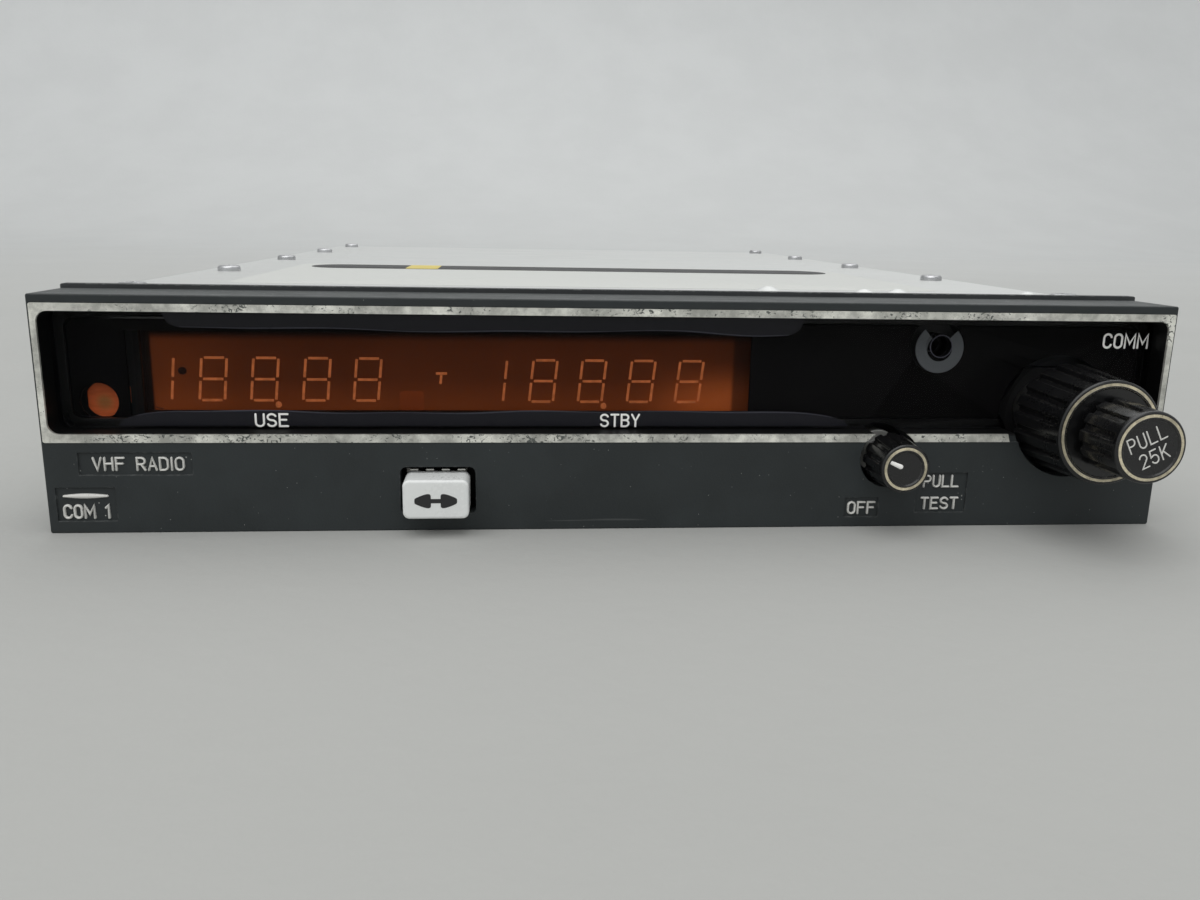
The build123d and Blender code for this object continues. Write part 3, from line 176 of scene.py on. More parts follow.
class GroupMaker:
    """Builds each shared effect once and places it in materials."""

    def __init__(self) -> None:
        """Start with no effect built."""
        self.made: Dict[str, bpy.types.NodeTree] = {}

    def start(
            self, name: str, inputs: Dict[str, float], outputs: Sequence[str],
    ) -> Tuple[NodeSheet, Dict[str, bpy.types.NodeSocket], bpy.types.Node]:
        """Open a new group with float inputs and outputs.

        Args:
            name: Name of the effect.
            inputs: Input names with their usual values.
            outputs: Output names.

        Returns:
            The sheet, the input sockets by name and the output node.
        """
        tree = bpy.data.node_groups.new(name, "ShaderNodeTree")
        for key, value in inputs.items():
            tree.interface.new_socket(key, in_out="INPUT", socket_type="NodeSocketFloat").default_value = value
        for key in outputs:
            tree.interface.new_socket(key, in_out="OUTPUT", socket_type="NodeSocketFloat")
        sheet = NodeSheet(tree)
        entry = tree.nodes.new("NodeGroupInput")
        exit_node = tree.nodes.new("NodeGroupOutput")
        self.made[name] = tree
        return sheet, {key: entry.outputs[key] for key in inputs}, exit_node

    def build(self) -> None:
        """Build every shared effect."""
        self.grain()
        self.edge_wear()
        self.hairlines()
        self.dust()
        self.brushed()
        self.speckle()

    def grain(self) -> None:
        """Fine surface grain: noise over small round cells, and a slow change of tone."""
        sheet, given, end = self.start("fine_grain", {"Scale": 2500.0}, ("Height", "Tone"))
        fine = sheet.noise(given["Scale"], 4.0, 0.6)
        pits = sheet.cells(sheet.sum("MULTIPLY", given["Scale"], 0.6))
        sheet.put(end.inputs["Height"], sheet.sum("ADD", fine, sheet.sum("MULTIPLY", pits, 0.35)))
        slow = sheet.noise(sheet.sum("MULTIPLY", given["Scale"], 0.03), 3.0, 0.55)
        sheet.put(end.inputs["Tone"], sheet.span(sheet.sum("MULTIPLY_ADD", fine, 0.35, slow), 0.45, 0.95))

    def edge_wear(self) -> None:
        """Worn edges: where a rounded normal leaves the flat one, broken up by noise."""
        sheet, given, end = self.start("edge_wear", {"Radius": 0.0003, "Breakup": 1500.0, "Amount": 0.5},
                                       ("Mask",))
        soft = sheet.tree.nodes.new("ShaderNodeBevel")
        soft.samples = 6
        sheet.put(soft.inputs["Radius"], given["Radius"])
        flat = sheet.tree.nodes.new("ShaderNodeNewGeometry")
        turn = sheet.tree.nodes.new("ShaderNodeVectorMath")
        turn.operation = "DOT_PRODUCT"
        sheet.put(turn.inputs[0], soft.outputs["Normal"])
        sheet.put(turn.inputs[1], flat.outputs["Normal"])
        edge = sheet.span(sheet.sum("SUBTRACT", 1.0, turn.outputs["Value"]), 0.02, 0.22)
        patch = sheet.noise(given["Breakup"], 5.0, 0.65)
        low = sheet.sum("SUBTRACT", 0.78, sheet.sum("MULTIPLY", given["Amount"], 0.45))
        broken = sheet.span(patch, low, sheet.sum("ADD", low, 0.1))
        sheet.put(end.inputs["Mask"], sheet.sum("MULTIPLY", edge, broken))

    def hairlines(self) -> None:
        """Hair scratches: two sets of noise drawn out along different slants, kept at their peaks."""
        sheet, given, end = self.start("hair_scratches", {"Scale": 300.0, "Amount": 0.3}, ("Mask",))
        masks = []
        for slant in (0.5, -0.85):
            vector = sheet.mapped((0.06, 0.5, 1.6), (0.2, slant, 0.3))
            streak = sheet.noise(given["Scale"], 2.0, 0.4, vector)
            low = sheet.sum("SUBTRACT", 0.8, sheet.sum("MULTIPLY", given["Amount"], 0.2))
            masks.append(sheet.span(streak, low, sheet.sum("ADD", low, 0.03)))
        sheet.put(end.inputs["Mask"], sheet.sum("MAXIMUM", masks[0], masks[1]))

    def dust(self) -> None:
        """Settled dust: small specks gathered in patches, more on faces that look up."""
        sheet, given, end = self.start("settled_dust", {"Scale": 900.0, "Amount": 0.4}, ("Mask",))
        grit = sheet.tree.nodes.new("ShaderNodeTexVoronoi")
        sheet.put(grit.inputs["Scale"], given["Scale"])
        sheet.put(grit.inputs["Vector"], sheet.place())
        pick = sheet.node("SeparateXYZ", Vector=grit.outputs["Color"])
        size = sheet.span(pick.outputs["Y"], 0.2, 1.0, 0.08, 0.24)
        specks = sheet.span(grit.outputs["Distance"], sheet.sum("MULTIPLY", size, 0.5), size, 1.0, 0.0)
        chosen = sheet.span(pick.outputs["X"], 0.8, 0.84)
        patches = sheet.noise(sheet.sum("MULTIPLY", given["Scale"], 0.07), 3.0, 0.6)
        low = sheet.sum("SUBTRACT", 0.72, sheet.sum("MULTIPLY", given["Amount"], 0.3))
        gathered = sheet.span(patches, low, sheet.sum("ADD", low, 0.16))
        up = sheet.node("SeparateXYZ",
                        Vector=sheet.tree.nodes.new("ShaderNodeNewGeometry").outputs["Normal"]).outputs["Z"]
        film = sheet.sum("MULTIPLY", sheet.span(up, 0.5, 1.0),
                         sheet.sum("MULTIPLY", patches, sheet.sum("MULTIPLY", given["Amount"], 0.11)))
        dots = sheet.sum("MULTIPLY", sheet.sum("MULTIPLY", specks, chosen), gathered)
        sheet.put(end.inputs["Mask"], sheet.sum("MAXIMUM", dots, film))

    def brushed(self) -> None:
        """Rolling lines of sheet metal: noise drawn far out along X."""
        sheet, given, end = self.start("rolled_lines", {"Scale": 1800.0}, ("Height", "Tone"))
        lines = sheet.noise(given["Scale"], 4.0, 0.7, sheet.mapped((0.015, 1.0, 1.0)))
        stain = sheet.noise(sheet.sum("MULTIPLY", given["Scale"], 0.025), 4.0, 0.6)
        sheet.put(end.inputs["Height"], lines)
        sheet.put(end.inputs["Tone"], sheet.span(sheet.sum("MULTIPLY_ADD", lines, 0.5, stain), 0.55, 1.0))

    def speckle(self) -> None:
        """Dark flecks of a worn foil: curled noise peaks inside slow patches."""
        sheet, given, end = self.start("foil_flecks", {"Scale": 1500.0, "Amount": 0.5}, ("Mask",))
        curl = sheet.tree.nodes.new("ShaderNodeTexNoise")
        for key, value in (("Scale", given["Scale"]), ("Detail", 5.0), ("Roughness", 0.62),
                           ("Distortion", 1.6)):
            sheet.put(curl.inputs[key], value)
        sheet.put(curl.inputs["Vector"], sheet.mapped((0.75, 1.0, 1.0)))
        patch = sheet.noise(sheet.sum("MULTIPLY", given["Scale"], 0.07), 3.0, 0.6)
        low = sheet.sum("SUBTRACT", 0.86, sheet.sum("MULTIPLY", given["Amount"],
                                                    sheet.sum("MULTIPLY", patch, 0.85)))
        sheet.put(end.inputs["Mask"], sheet.span(curl.outputs["Fac"], low, sheet.sum("ADD", low, 0.07)))

    def add(self, sheet: NodeSheet, name: str, **inputs: float) -> Dict[str, bpy.types.NodeSocket]:
        """Place a shared effect in a material.

        Args:
            sheet: The material's sheet.
            name: Name of the effect.
            inputs: Values for its inputs.

        Returns:
            The effect's outputs by name.
        """
        made = sheet.tree.nodes.new("ShaderNodeGroup")
        made.node_tree = self.made[name]
        for key, value in inputs.items():
            made.inputs[key].default_value = value
        return {socket.name: socket for socket in made.outputs}


GROUPS = GroupMaker()


# --- finishes ---

@dataclass(frozen=True)
class Finish:
    """What every finish has: a main colour and its gloss."""

    color: Rgb
    roughness: float = 0.5
    metallic: float = 0.0
    specular: float = 0.5

    def begin(self, name: str) -> Tuple[bpy.types.Material, NodeSheet, bpy.types.Node]:
        """Open a material with one principled shader.

        Args:
            name: Name of the material.

        Returns:
            The material, its sheet and the shader node.
        """
        material = bpy.data.materials.new(name)
        material.use_nodes = True
        tree = material.node_tree
        tree.nodes.clear()
        sheet = NodeSheet(tree)
        shader = sheet.node("BsdfPrincipled")
        shader.inputs["Metallic"].default_value = self.metallic
        shader.inputs["Roughness"].default_value = self.roughness
        shader.inputs["Specular IOR Level"].default_value = self.specular
        shader.inputs["Base Color"].default_value = (*self.color, 1.0)
        end = sheet.node("OutputMaterial")
        tree.links.new(shader.outputs[0], end.inputs["Surface"])
        material.diffuse_color = (*self.color, 1.0)
        return material, sheet, shader

    def build(self, name: str) -> bpy.types.Material:
        """Make the material; each finish has its own way."""
        raise NotImplementedError


@dataclass(frozen=True)
class WornFinish(Finish):
    """Moulded, painted or machined surface with grain, tone, worn edges, scratches and dust."""

    grain_scale: float = 2500.0
    grain_depth: float = 0.00002
    tone: float = 0.2
    wear_color: Rgb = (0.2, 0.2, 0.2)
    wear: float = 0.5
    wear_radius: float = 0.0003
    wear_scale: float = 1500.0
    scratch_color: Rgb = (0.15, 0.15, 0.15)
    scratches: float = 0.2
    dust_color: Rgb = (0.3, 0.3, 0.29)
    dust: float = 0.3
    dust_scale: float = 1400.0
    soft: float = 0.0002
    coat: float = 0.0

    def build(self, name: str) -> bpy.types.Material:
        """Layer tone, scratches, wear and dust over the main colour, then grain over soft edges."""
        material, sheet, shader = self.begin(name)
        grain = GROUPS.add(sheet, "fine_grain", Scale=self.grain_scale)
        light = tuple(min(1.0, c * (1 + self.tone)) for c in self.color)
        dark = tuple(c * (1 - self.tone) for c in self.color)
        color = sheet.blend(grain["Tone"], dark, light)
        rough = sheet.span(grain["Tone"], 0.0, 1.0, max(0.03, self.roughness - 0.07),
                           min(1.0, self.roughness + 0.09))
        if self.scratches:
            scratch = GROUPS.add(sheet, "hair_scratches", Scale=420.0, Amount=self.scratches)["Mask"]
            color = sheet.blend(scratch, color, self.scratch_color)
        if self.wear:
            edge = GROUPS.add(sheet, "edge_wear", Radius=self.wear_radius, Breakup=self.wear_scale,
                              Amount=self.wear)["Mask"]
            color = sheet.blend(edge, color, self.wear_color)
        if self.dust:
            film = GROUPS.add(sheet, "settled_dust", Scale=self.dust_scale, Amount=self.dust)["Mask"]
            color = sheet.blend(film, color, self.dust_color)
            rough = sheet.sum("MAXIMUM", rough, sheet.sum("MULTIPLY", film, 0.85))
        sheet.put(shader.inputs["Base Color"], color)
        sheet.put(shader.inputs["Roughness"], rough)
        shader.inputs["Coat Weight"].default_value = self.coat
        under = None
        if self.soft:
            edge_normal = sheet.node("Bevel", Radius=self.soft)
            edge_normal.samples = 6
            under = edge_normal.outputs["Normal"]
        sheet.put(shader.inputs["Normal"], sheet.bump(grain["Height"], self.grain_depth, 0.6, under))
        return material


@dataclass(frozen=True)
class BezelFinish(WornFinish):
    """Moulded bezel whose window well is darkened with painted shade, dull black behind its front edge."""

    well: Box2 = (-78.9, 78.9, 13.6, 30.7)
    well_shade_color: Rgb = (0.003, 0.0032, 0.0034)
    well_from: float = 0.15

    def build(self, name: str) -> bpy.types.Material:
        """Add the well's painted shade to the worn surface: inside a box across and up, and behind the front
        face.
        """
        material = super().build(name)
        sheet = NodeSheet(material.node_tree)
        shader = next(node for node in sheet.tree.nodes if node.type == "BSDF_PRINCIPLED")
        left, right, bottom, top = self.well
        front = node_low("bezel", 1) + self.well_from
        inside = sheet.span(sheet.axis("Y"), front * MM, (front + 0.1) * MM)
        for name_of_axis, low, high in (("X", left, right), ("Z", bottom, top)):
            place = sheet.axis(name_of_axis)
            inside = sheet.sum("MULTIPLY", inside, sheet.span(place, low * MM, (low + 0.05) * MM))
            inside = sheet.sum("MULTIPLY", inside, sheet.span(place, (high - 0.05) * MM, high * MM, 1.0, 0.0))
        # Painted shade: inside the window's recess the bezel turns near-black.
        worn = shader.inputs["Base Color"].links[0].from_socket
        sheet.put(shader.inputs["Base Color"], sheet.blend(inside, worn, self.well_shade_color))
        return material


@dataclass(frozen=True)
class SheetFinish(Finish):
    """Rolled sheet metal: drawn lines, stains, scratches and handling marks."""

    line_scale: float = 1800.0
    stain_color: Rgb = (0.5, 0.5, 0.48)
    scratches: float = 0.35

    def build(self, name: str) -> bpy.types.Material:
        """Drawn lines carry tone and height; stains and scratches darken it a little."""
        material, sheet, shader = self.begin(name)
        lines = GROUPS.add(sheet, "rolled_lines", Scale=self.line_scale)
        color = sheet.blend(lines["Tone"], self.stain_color, self.color)
        scratch = GROUPS.add(sheet, "hair_scratches", Scale=260.0, Amount=self.scratches)["Mask"]
        color = sheet.blend(sheet.sum("MULTIPLY", scratch, 0.5), color, self.stain_color)
        film = GROUPS.add(sheet, "settled_dust", Scale=1100.0, Amount=0.2)["Mask"]
        color = sheet.blend(sheet.sum("MULTIPLY", film, 0.6), color, (0.42, 0.41, 0.38))
        sheet.put(shader.inputs["Base Color"], color)
        sheet.put(shader.inputs["Roughness"], sheet.span(lines["Tone"], 0.0, 1.0, self.roughness + 0.1,
                                                         self.roughness))
        sheet.put(shader.inputs["Normal"], sheet.bump(lines["Height"], 0.00001, 0.4))
        return material


@dataclass(frozen=True)
class FoilFinish(Finish):
    """Bright foil strip with dark flecks, scratches and a slight crinkle."""

    fleck_color: Rgb = (0.13, 0.14, 0.13)
    flecks: float = 0.5
    fleck_scale: float = 1500.0

    def build(self, name: str) -> bpy.types.Material:
        """Flecks and tarnish over the bright foil."""
        material, sheet, shader = self.begin(name)
        fleck = GROUPS.add(sheet, "foil_flecks", Scale=self.fleck_scale, Amount=self.flecks)["Mask"]
        tarnish = sheet.span(sheet.noise(130.0, 3.0, 0.55), 0.4, 0.66)
        mottle = sheet.span(sheet.noise(self.fleck_scale * 0.36, 6.0, 0.72), 0.37, 0.63)
        dull, grey = tuple(c * 0.66 for c in self.color), tuple(c * 0.42 for c in self.color)
        color = sheet.blend(tarnish, sheet.blend(mottle, grey, dull), sheet.blend(mottle, dull, self.color))
        color = sheet.blend(fleck, color, self.fleck_color)
        edge = GROUPS.add(sheet, "edge_wear", Radius=0.00012, Breakup=1100.0, Amount=0.55)["Mask"]
        color = sheet.blend(edge, color, tuple(c * 0.5 for c in self.color))
        sheet.put(shader.inputs["Base Color"], color)
        sheet.put(shader.inputs["Roughness"], sheet.span(fleck, 0.0, 1.0, self.roughness, 0.75))
        crinkle = sheet.noise(900.0, 4.0, 0.6)
        sheet.put(shader.inputs["Normal"], sheet.bump(crinkle, 0.00005, 0.5))
        return material


@dataclass(frozen=True)
class WindowFinish(Finish):
    """Smoked or clear window: part see-through, polished, with faint wipes and specks."""

    alpha: float = 0.2
    ior: float = 1.5
    specks: float = 0.25

    def build(self, name: str) -> bpy.types.Material:
        """Alpha rises where a speck or a scratch lies on the window."""
        material, sheet, shader = self.begin(name)
        film = GROUPS.add(sheet, "settled_dust", Scale=1250.0, Amount=self.specks)["Mask"]
        scratch = GROUPS.add(sheet, "hair_scratches", Scale=300.0, Amount=self.specks)["Mask"]
        marks = sheet.sum("MULTIPLY", sheet.sum("MAXIMUM", film, scratch), 0.55)
        sheet.put(shader.inputs["Base Color"], sheet.blend(marks, self.color, (0.3, 0.3, 0.3)))
        sheet.put(shader.inputs["Alpha"], sheet.sum("MAXIMUM", marks, self.alpha))
        smear = sheet.noise(95.0, 4.0, 0.6, sheet.mapped((0.5, 1.0, 1.4), (0.0, 0.5, 0.0)))
        sheet.put(shader.inputs["Roughness"], sheet.span(smear, 0.35, 0.7, self.roughness,
                                                         self.roughness + 0.08))
        shader.inputs["IOR"].default_value = self.ior
        return material


@dataclass(frozen=True)
class DisplayFinish(Finish):
    """Printed ground behind the gas-filled display: brown-orange, with painted light towards its edges and a
    painted glow.
    """

    dark: Rgb = (0.012, 0.0055, 0.004)
    glow: Rgb = (0.95, 0.21, 0.045)
    left: float = -67.4
    right: float = 18.9
    top: float = 26.1
    bottom: float = 15.4
    light: float = 0.06

    def build(self, name: str) -> bpy.types.Material:
        """The ground fills a soft-edged field; its right end and its lower edge are lighter with painted light.
        """
        material, sheet, shader = self.begin(name)
        across, up = sheet.axis("X"), sheet.axis("Z")
        inside = sheet.sum("MULTIPLY", sheet.span(across, self.left * MM, (self.left + 0.5) * MM),
                           sheet.span(up, (self.top - 0.6) * MM, (self.top + 0.9) * MM, 1.0, 0.0))
        cloud = sheet.span(sheet.noise(70.0, 3.0, 0.5), 0.35, 0.7, 0.0, 0.5)
        # Painted light: the ground lightens towards its right end, its lower edge and its left end.
        lamp = sheet.sum("MULTIPLY", sheet.span(across, (self.right - 19.0) * MM, self.right * MM),
                         sheet.span(up, (self.bottom + 1.0) * MM, (self.top - 2.5) * MM, 1.0, 0.0))
        inside = sheet.sum("MULTIPLY", inside, sheet.span(across, (self.right - 2.7) * MM,
                                                          (self.right - 2.0) * MM, 1.0, 0.3))
        foot = sheet.span(up, self.bottom * MM, (self.bottom + 5.5) * MM, 0.24, 0.0)
        side = sheet.span(across, self.left * MM, (self.left + 16.0) * MM, 0.16, 0.0)
        strength = sheet.sum("ADD", sheet.sum("MULTIPLY", lamp, 1.0), sheet.sum("ADD", foot, side))
        warm = sheet.blend(strength, self.color, self.glow)
        warm = sheet.blend(cloud, warm, sheet.blend(strength, tuple(c * 0.75 for c in self.color), self.glow))
        color = sheet.blend(inside, self.dark, warm)
        sheet.put(shader.inputs["Base Color"], color)
        # Painted glow: the ground also gives out its colour as light, though the display is unlit.
        sheet.put(shader.inputs["Emission Color"], color)
        shader.inputs["Emission Strength"].default_value = self.light
        sheet.put(shader.inputs["Roughness"], sheet.span(cloud, 0.0, 0.55, 0.5, 0.6))
        return material


@dataclass(frozen=True)
class ElectrodeFinish(Finish):
    """Pale orange segment with a painted glow and an uneven coat."""

    light: float = 0.2

    def build(self, name: str) -> bpy.types.Material:
        """Mottled colour feeds both the base and the painted glow."""
        material, sheet, shader = self.begin(name)
        patch = sheet.span(sheet.noise(1100.0, 3.0, 0.6), 0.35, 0.65)
        color = sheet.blend(patch, tuple(c * 0.72 for c in self.color), self.color)
        sheet.put(shader.inputs["Base Color"], color)
        # Painted glow: the unlit segment gives out its own colour as light.
        sheet.put(shader.inputs["Emission Color"], color)
        shader.inputs["Emission Strength"].default_value = self.light
        return material


@dataclass(frozen=True)
class SensorFinish(Finish):
    """Light sensor's window: orange rim and a greenish middle with fine rows."""

    middle: Rgb = (0.34, 0.22, 0.06)

    def build(self, name: str) -> bpy.types.Material:
        """Distance from the window's centre turns the rim colour into the middle colour."""
        material, sheet, shader = self.begin(name)
        low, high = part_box("photocell")
        centre = [(float(low[i]) + float(high[i])) / 2 for i in range(3)]
        dx = sheet.sum("SUBTRACT", sheet.axis("X"), centre[0])
        dz = sheet.sum("SUBTRACT", sheet.axis("Z"), centre[2] - 0.0004)
        reach = sheet.sum("SQRT", sheet.sum("ADD", sheet.sum("MULTIPLY", dx, dx),
                                            sheet.sum("MULTIPLY", dz, dz)))
        core = sheet.span(reach, 0.0002, 0.0017, 0.75, 0.0)
        rows = sheet.span(sheet.noise(2600.0, 2.0, 0.5, sheet.mapped((0.2, 1.0, 1.0))), 0.4, 0.6, 0.0, 0.3)
        color = sheet.blend(core, self.color, self.middle)
        sheet.put(shader.inputs["Base Color"], sheet.blend(rows, color, tuple(c * 0.6 for c in self.color)))
        sheet.put(shader.inputs["Roughness"], sheet.span(rows, 0.0, 0.3, self.roughness, self.roughness + 0.15))
        return material


@dataclass(frozen=True)
class BoardFinish(Finish):
    """Circuit board: green resist over copper tracks, pale pads and a slight weave."""

    track: Rgb = (0.03, 0.14, 0.05)
    pad: Rgb = (0.62, 0.6, 0.52)

    def build(self, name: str) -> bpy.types.Material:
        """Tracks are the borders of square cells; pads are small rounds at other cells' points."""
        material, sheet, shader = self.begin(name)
        cell = sheet.tree.nodes.new("ShaderNodeTexVoronoi")
        cell.distance = "CHEBYCHEV"
        sheet.put(cell.inputs["Scale"], 190.0)
        sheet.put(cell.inputs["Vector"], sheet.place())
        bands = sheet.span(sheet.sum("FRACT", sheet.sum("MULTIPLY", cell.outputs["Distance"], 6.0)), 0.55, 0.62)
        pads = sheet.span(sheet.cells(420.0), 0.16, 0.2, 1.0, 0.0)
        color = sheet.blend(bands, self.color, self.track)
        color = sheet.blend(pads, color, self.pad)
        sheet.put(shader.inputs["Base Color"], color)
        sheet.put(shader.inputs["Normal"], sheet.bump(sheet.sum("ADD", bands, pads), 0.00003, 0.6))
        return material


@dataclass(frozen=True)
class PrintFinish(Finish):
    """Painted or printed mark: slightly uneven paint with worn thin places."""

    thin: Rgb = (0.4, 0.4, 0.38)
    wear: float = 0.35

    def build(self, name: str) -> bpy.types.Material:
        """Noise peaks show a thinner, darker coat."""
        material, sheet, shader = self.begin(name)
        patch = sheet.span(sheet.noise(1700.0, 4.0, 0.65), 0.72 - 0.3 * self.wear, 0.8 - 0.25 * self.wear)
        sheet.put(shader.inputs["Base Color"], sheet.blend(patch, self.color, self.thin))
        sheet.put(shader.inputs["Normal"], sheet.bump(sheet.noise(3000.0, 2.0, 0.5), 0.00001, 0.5))
        return material


class Look(Enum):
    """Every finish of the object, by what it covers."""

    BEZEL = BezelFinish(
        color=(0.0235, 0.0285, 0.0298), roughness=0.5, metallic=0.0, specular=0.34, grain_scale=3600.0,
        grain_depth=0.000022, tone=0.14, wear_color=(0.07, 0.076, 0.076), wear=0.6, wear_radius=0.0004,
        wear_scale=1300.0, scratch_color=(0.055, 0.06, 0.06), scratches=0.2, dust_color=(0.42, 0.43, 0.41),
        dust=1.3, dust_scale=1500.0)
    # Sub-panel: its pale worn edges are partly real wear and partly a painted highlight along the plate's lit
    # edge.
    PANEL = WornFinish(
        color=(0.034, 0.037, 0.039), roughness=0.5, metallic=0.0, specular=0.4, grain_scale=3000.0,
        grain_depth=0.00002, tone=0.15, wear_color=(0.2, 0.21, 0.2), wear=0.65, wear_radius=0.0003,
        wear_scale=1000.0, scratch_color=(0.12, 0.12, 0.12), scratches=0.3, dust_color=(0.2, 0.2, 0.19),
        dust=0.35, dust_scale=1500.0)
    FOIL = FoilFinish(
        color=(0.95, 0.95, 0.87), roughness=0.38, metallic=0.5, specular=0.5, flecks=0.62)
    LENS = WindowFinish(
        color=(0.002, 0.002, 0.0025), roughness=0.05, metallic=0.0, specular=0.16, alpha=0.15)
    MASK = WornFinish(
        color=(0.003, 0.0026, 0.003), roughness=0.7, metallic=0.0, specular=0.12, wear=0.0, dust=0.0,
        scratches=0.0)
    FRONT_GLASS = WindowFinish(
        color=(0.02, 0.008, 0.004), roughness=0.06, metallic=0.0, specular=0.1, alpha=0.05, specks=0.05)
    DISPLAY_GROUND = DisplayFinish(
        color=(0.2, 0.043, 0.0105), roughness=0.55, metallic=0.0, specular=0.08)
    DISPLAY_SEAL = WornFinish(
        color=(0.03, 0.012, 0.007), roughness=0.5, metallic=0.0, specular=0.1, wear=0.0, dust=0.0,
        scratches=0.0)
    ELECTRODE = ElectrodeFinish(
        color=(0.92, 0.26, 0.08), roughness=0.5, metallic=0.0, specular=0.1, light=0.26)
    TINNED = SheetFinish(
        color=(0.72, 0.71, 0.67), roughness=0.28, metallic=1.0, specular=0.5, line_scale=1500.0,
        stain_color=(0.5, 0.49, 0.46), scratches=0.25)
    BLACK_MOULDING = WornFinish(
        color=(0.02, 0.02, 0.021), roughness=0.45, metallic=0.0, specular=0.4, grain_scale=3000.0,
        grain_depth=0.00002, tone=0.2, wear_color=(0.06, 0.06, 0.06), wear=0.4, scratches=0.15)
    SENSOR = SensorFinish(
        color=(1.0, 0.2, 0.055), roughness=0.35, metallic=0.0, specular=0.2)
    CIRCUIT_BOARD = BoardFinish(
        color=(0.018, 0.085, 0.032), roughness=0.4, metallic=0.0, specular=0.5)
    BUTTON = WornFinish(
        color=(0.8, 0.82, 0.81), roughness=0.32, metallic=0.0, specular=0.5, grain_scale=1800.0,
        grain_depth=0.00001, tone=0.03, wear_color=(0.5, 0.5, 0.47), wear=0.35, wear_radius=0.00025,
        wear_scale=900.0, scratch_color=(0.5, 0.5, 0.48), scratches=0.2, dust_color=(0.4, 0.39, 0.36),
        dust=0.12, dust_scale=1600.0, soft=0.0004)
    SPRING = SheetFinish(
        color=(0.6, 0.6, 0.6), roughness=0.3, metallic=1.0, specular=0.5)
    # Knob: its pale worn edges are partly real wear and partly a painted highlight along the rib edges.
    KNOB = WornFinish(
        color=(0.0055, 0.0055, 0.006), roughness=0.3, metallic=0.0, specular=0.5, grain_scale=2600.0,
        grain_depth=0.000006, tone=0.12, wear_color=(0.13, 0.125, 0.11), wear=0.65, wear_radius=0.0002,
        wear_scale=1700.0, scratch_color=(0.05, 0.05, 0.048), scratches=0.2, dust_color=(0.1, 0.1, 0.095),
        dust=0.12, dust_scale=2400.0, soft=0.00016, coat=0.2)
    KNOB_RING = FoilFinish(
        color=(0.84, 0.76, 0.55), roughness=0.34, metallic=0.25, specular=0.5, fleck_color=(0.2, 0.17, 0.11),
        flecks=0.5, fleck_scale=2600.0)
    STEEL = WornFinish(
        color=(0.52, 0.52, 0.53), roughness=0.32, metallic=1.0, specular=0.5, grain_scale=2000.0,
        grain_depth=0.00001, tone=0.12, wear_color=(0.7, 0.7, 0.7), wear=0.4, wear_radius=0.0002,
        wear_scale=1500.0, scratch_color=(0.3, 0.3, 0.3), scratches=0.25, dust_color=(0.35, 0.34, 0.32),
        dust=0.2)
    # Nuts: near-black as painted shade for the dark under the knobs.
    BLACK_NUT = WornFinish(
        color=(0.02, 0.02, 0.021), roughness=0.45, metallic=0.3, specular=0.3, grain_scale=2600.0,
        grain_depth=0.00001, tone=0.15, wear_color=(0.06, 0.06, 0.055), wear=0.4, scratches=0.1, dust=0.1)
    KEY_RING = WornFinish(
        color=(0.13, 0.14, 0.15), roughness=0.6, metallic=0.0, specular=0.2, grain_scale=2600.0,
        grain_depth=0.00002, tone=0.12, wear_color=(0.2, 0.2, 0.2), wear=0.3, dust=0.2)
    JACK_HEAD = WornFinish(
        color=(0.02, 0.021, 0.022), roughness=0.55, metallic=0.0, specular=0.3, grain_scale=2600.0,
        grain_depth=0.00002, tone=0.12, wear_color=(0.25, 0.25, 0.25), wear=0.4, dust=0.1)
    NYLON = WornFinish(
        color=(0.76, 0.73, 0.65), roughness=0.45, metallic=0.0, specular=0.5, grain_scale=2000.0,
        grain_depth=0.00001, tone=0.06, wear_color=(0.6, 0.58, 0.5), wear=0.2, scratches=0.1, dust=0.15)
    CONTROL = WornFinish(
        color=(0.4, 0.4, 0.38), roughness=0.35, metallic=0.9, specular=0.5, grain_scale=1500.0,
        grain_depth=0.00001, tone=0.12, wear_color=(0.6, 0.6, 0.58), wear=0.5)
    BRASS = WornFinish(
        color=(0.7, 0.52, 0.25), roughness=0.28, metallic=1.0, specular=0.5, grain_scale=2000.0,
        grain_depth=0.00001, tone=0.12, wear_color=(0.8, 0.66, 0.4), wear=0.4, dust=0.15)
    GOLD = WornFinish(
        color=(0.85, 0.63, 0.25), roughness=0.22, metallic=1.0, specular=0.5, grain_scale=2500.0,
        grain_depth=0.000006, tone=0.08, wear_color=(0.75, 0.7, 0.6), wear=0.3, dust=0.1)
    ALUMINIUM = SheetFinish(
        color=(0.7, 0.705, 0.69), roughness=0.38, metallic=0.75, specular=0.5, line_scale=1800.0,
        stain_color=(0.66, 0.67, 0.66), scratches=0.35)
    HEAT_SINK = WornFinish(
        color=(0.018, 0.018, 0.02), roughness=0.42, metallic=0.35, specular=0.5, grain_scale=2600.0,
        grain_depth=0.000015, tone=0.2, wear_color=(0.32, 0.32, 0.32), wear=0.55, wear_radius=0.00025,
        wear_scale=1300.0, scratch_color=(0.2, 0.2, 0.2), scratches=0.3, dust_color=(0.2, 0.2, 0.19), dust=0.4)
    CAPACITOR = WornFinish(
        color=(0.04, 0.07, 0.2), roughness=0.3, metallic=0.0, specular=0.5, grain_scale=1500.0,
        grain_depth=0.000008, tone=0.1, wear_color=(0.2, 0.24, 0.34), wear=0.3, wear_radius=0.0003,
        wear_scale=1500.0, dust=0.25)
    BRACKET = SheetFinish(
        color=(0.6, 0.6, 0.55), roughness=0.32, metallic=0.9, specular=0.5, line_scale=1500.0,
        stain_color=(0.42, 0.42, 0.36), scratches=0.3)
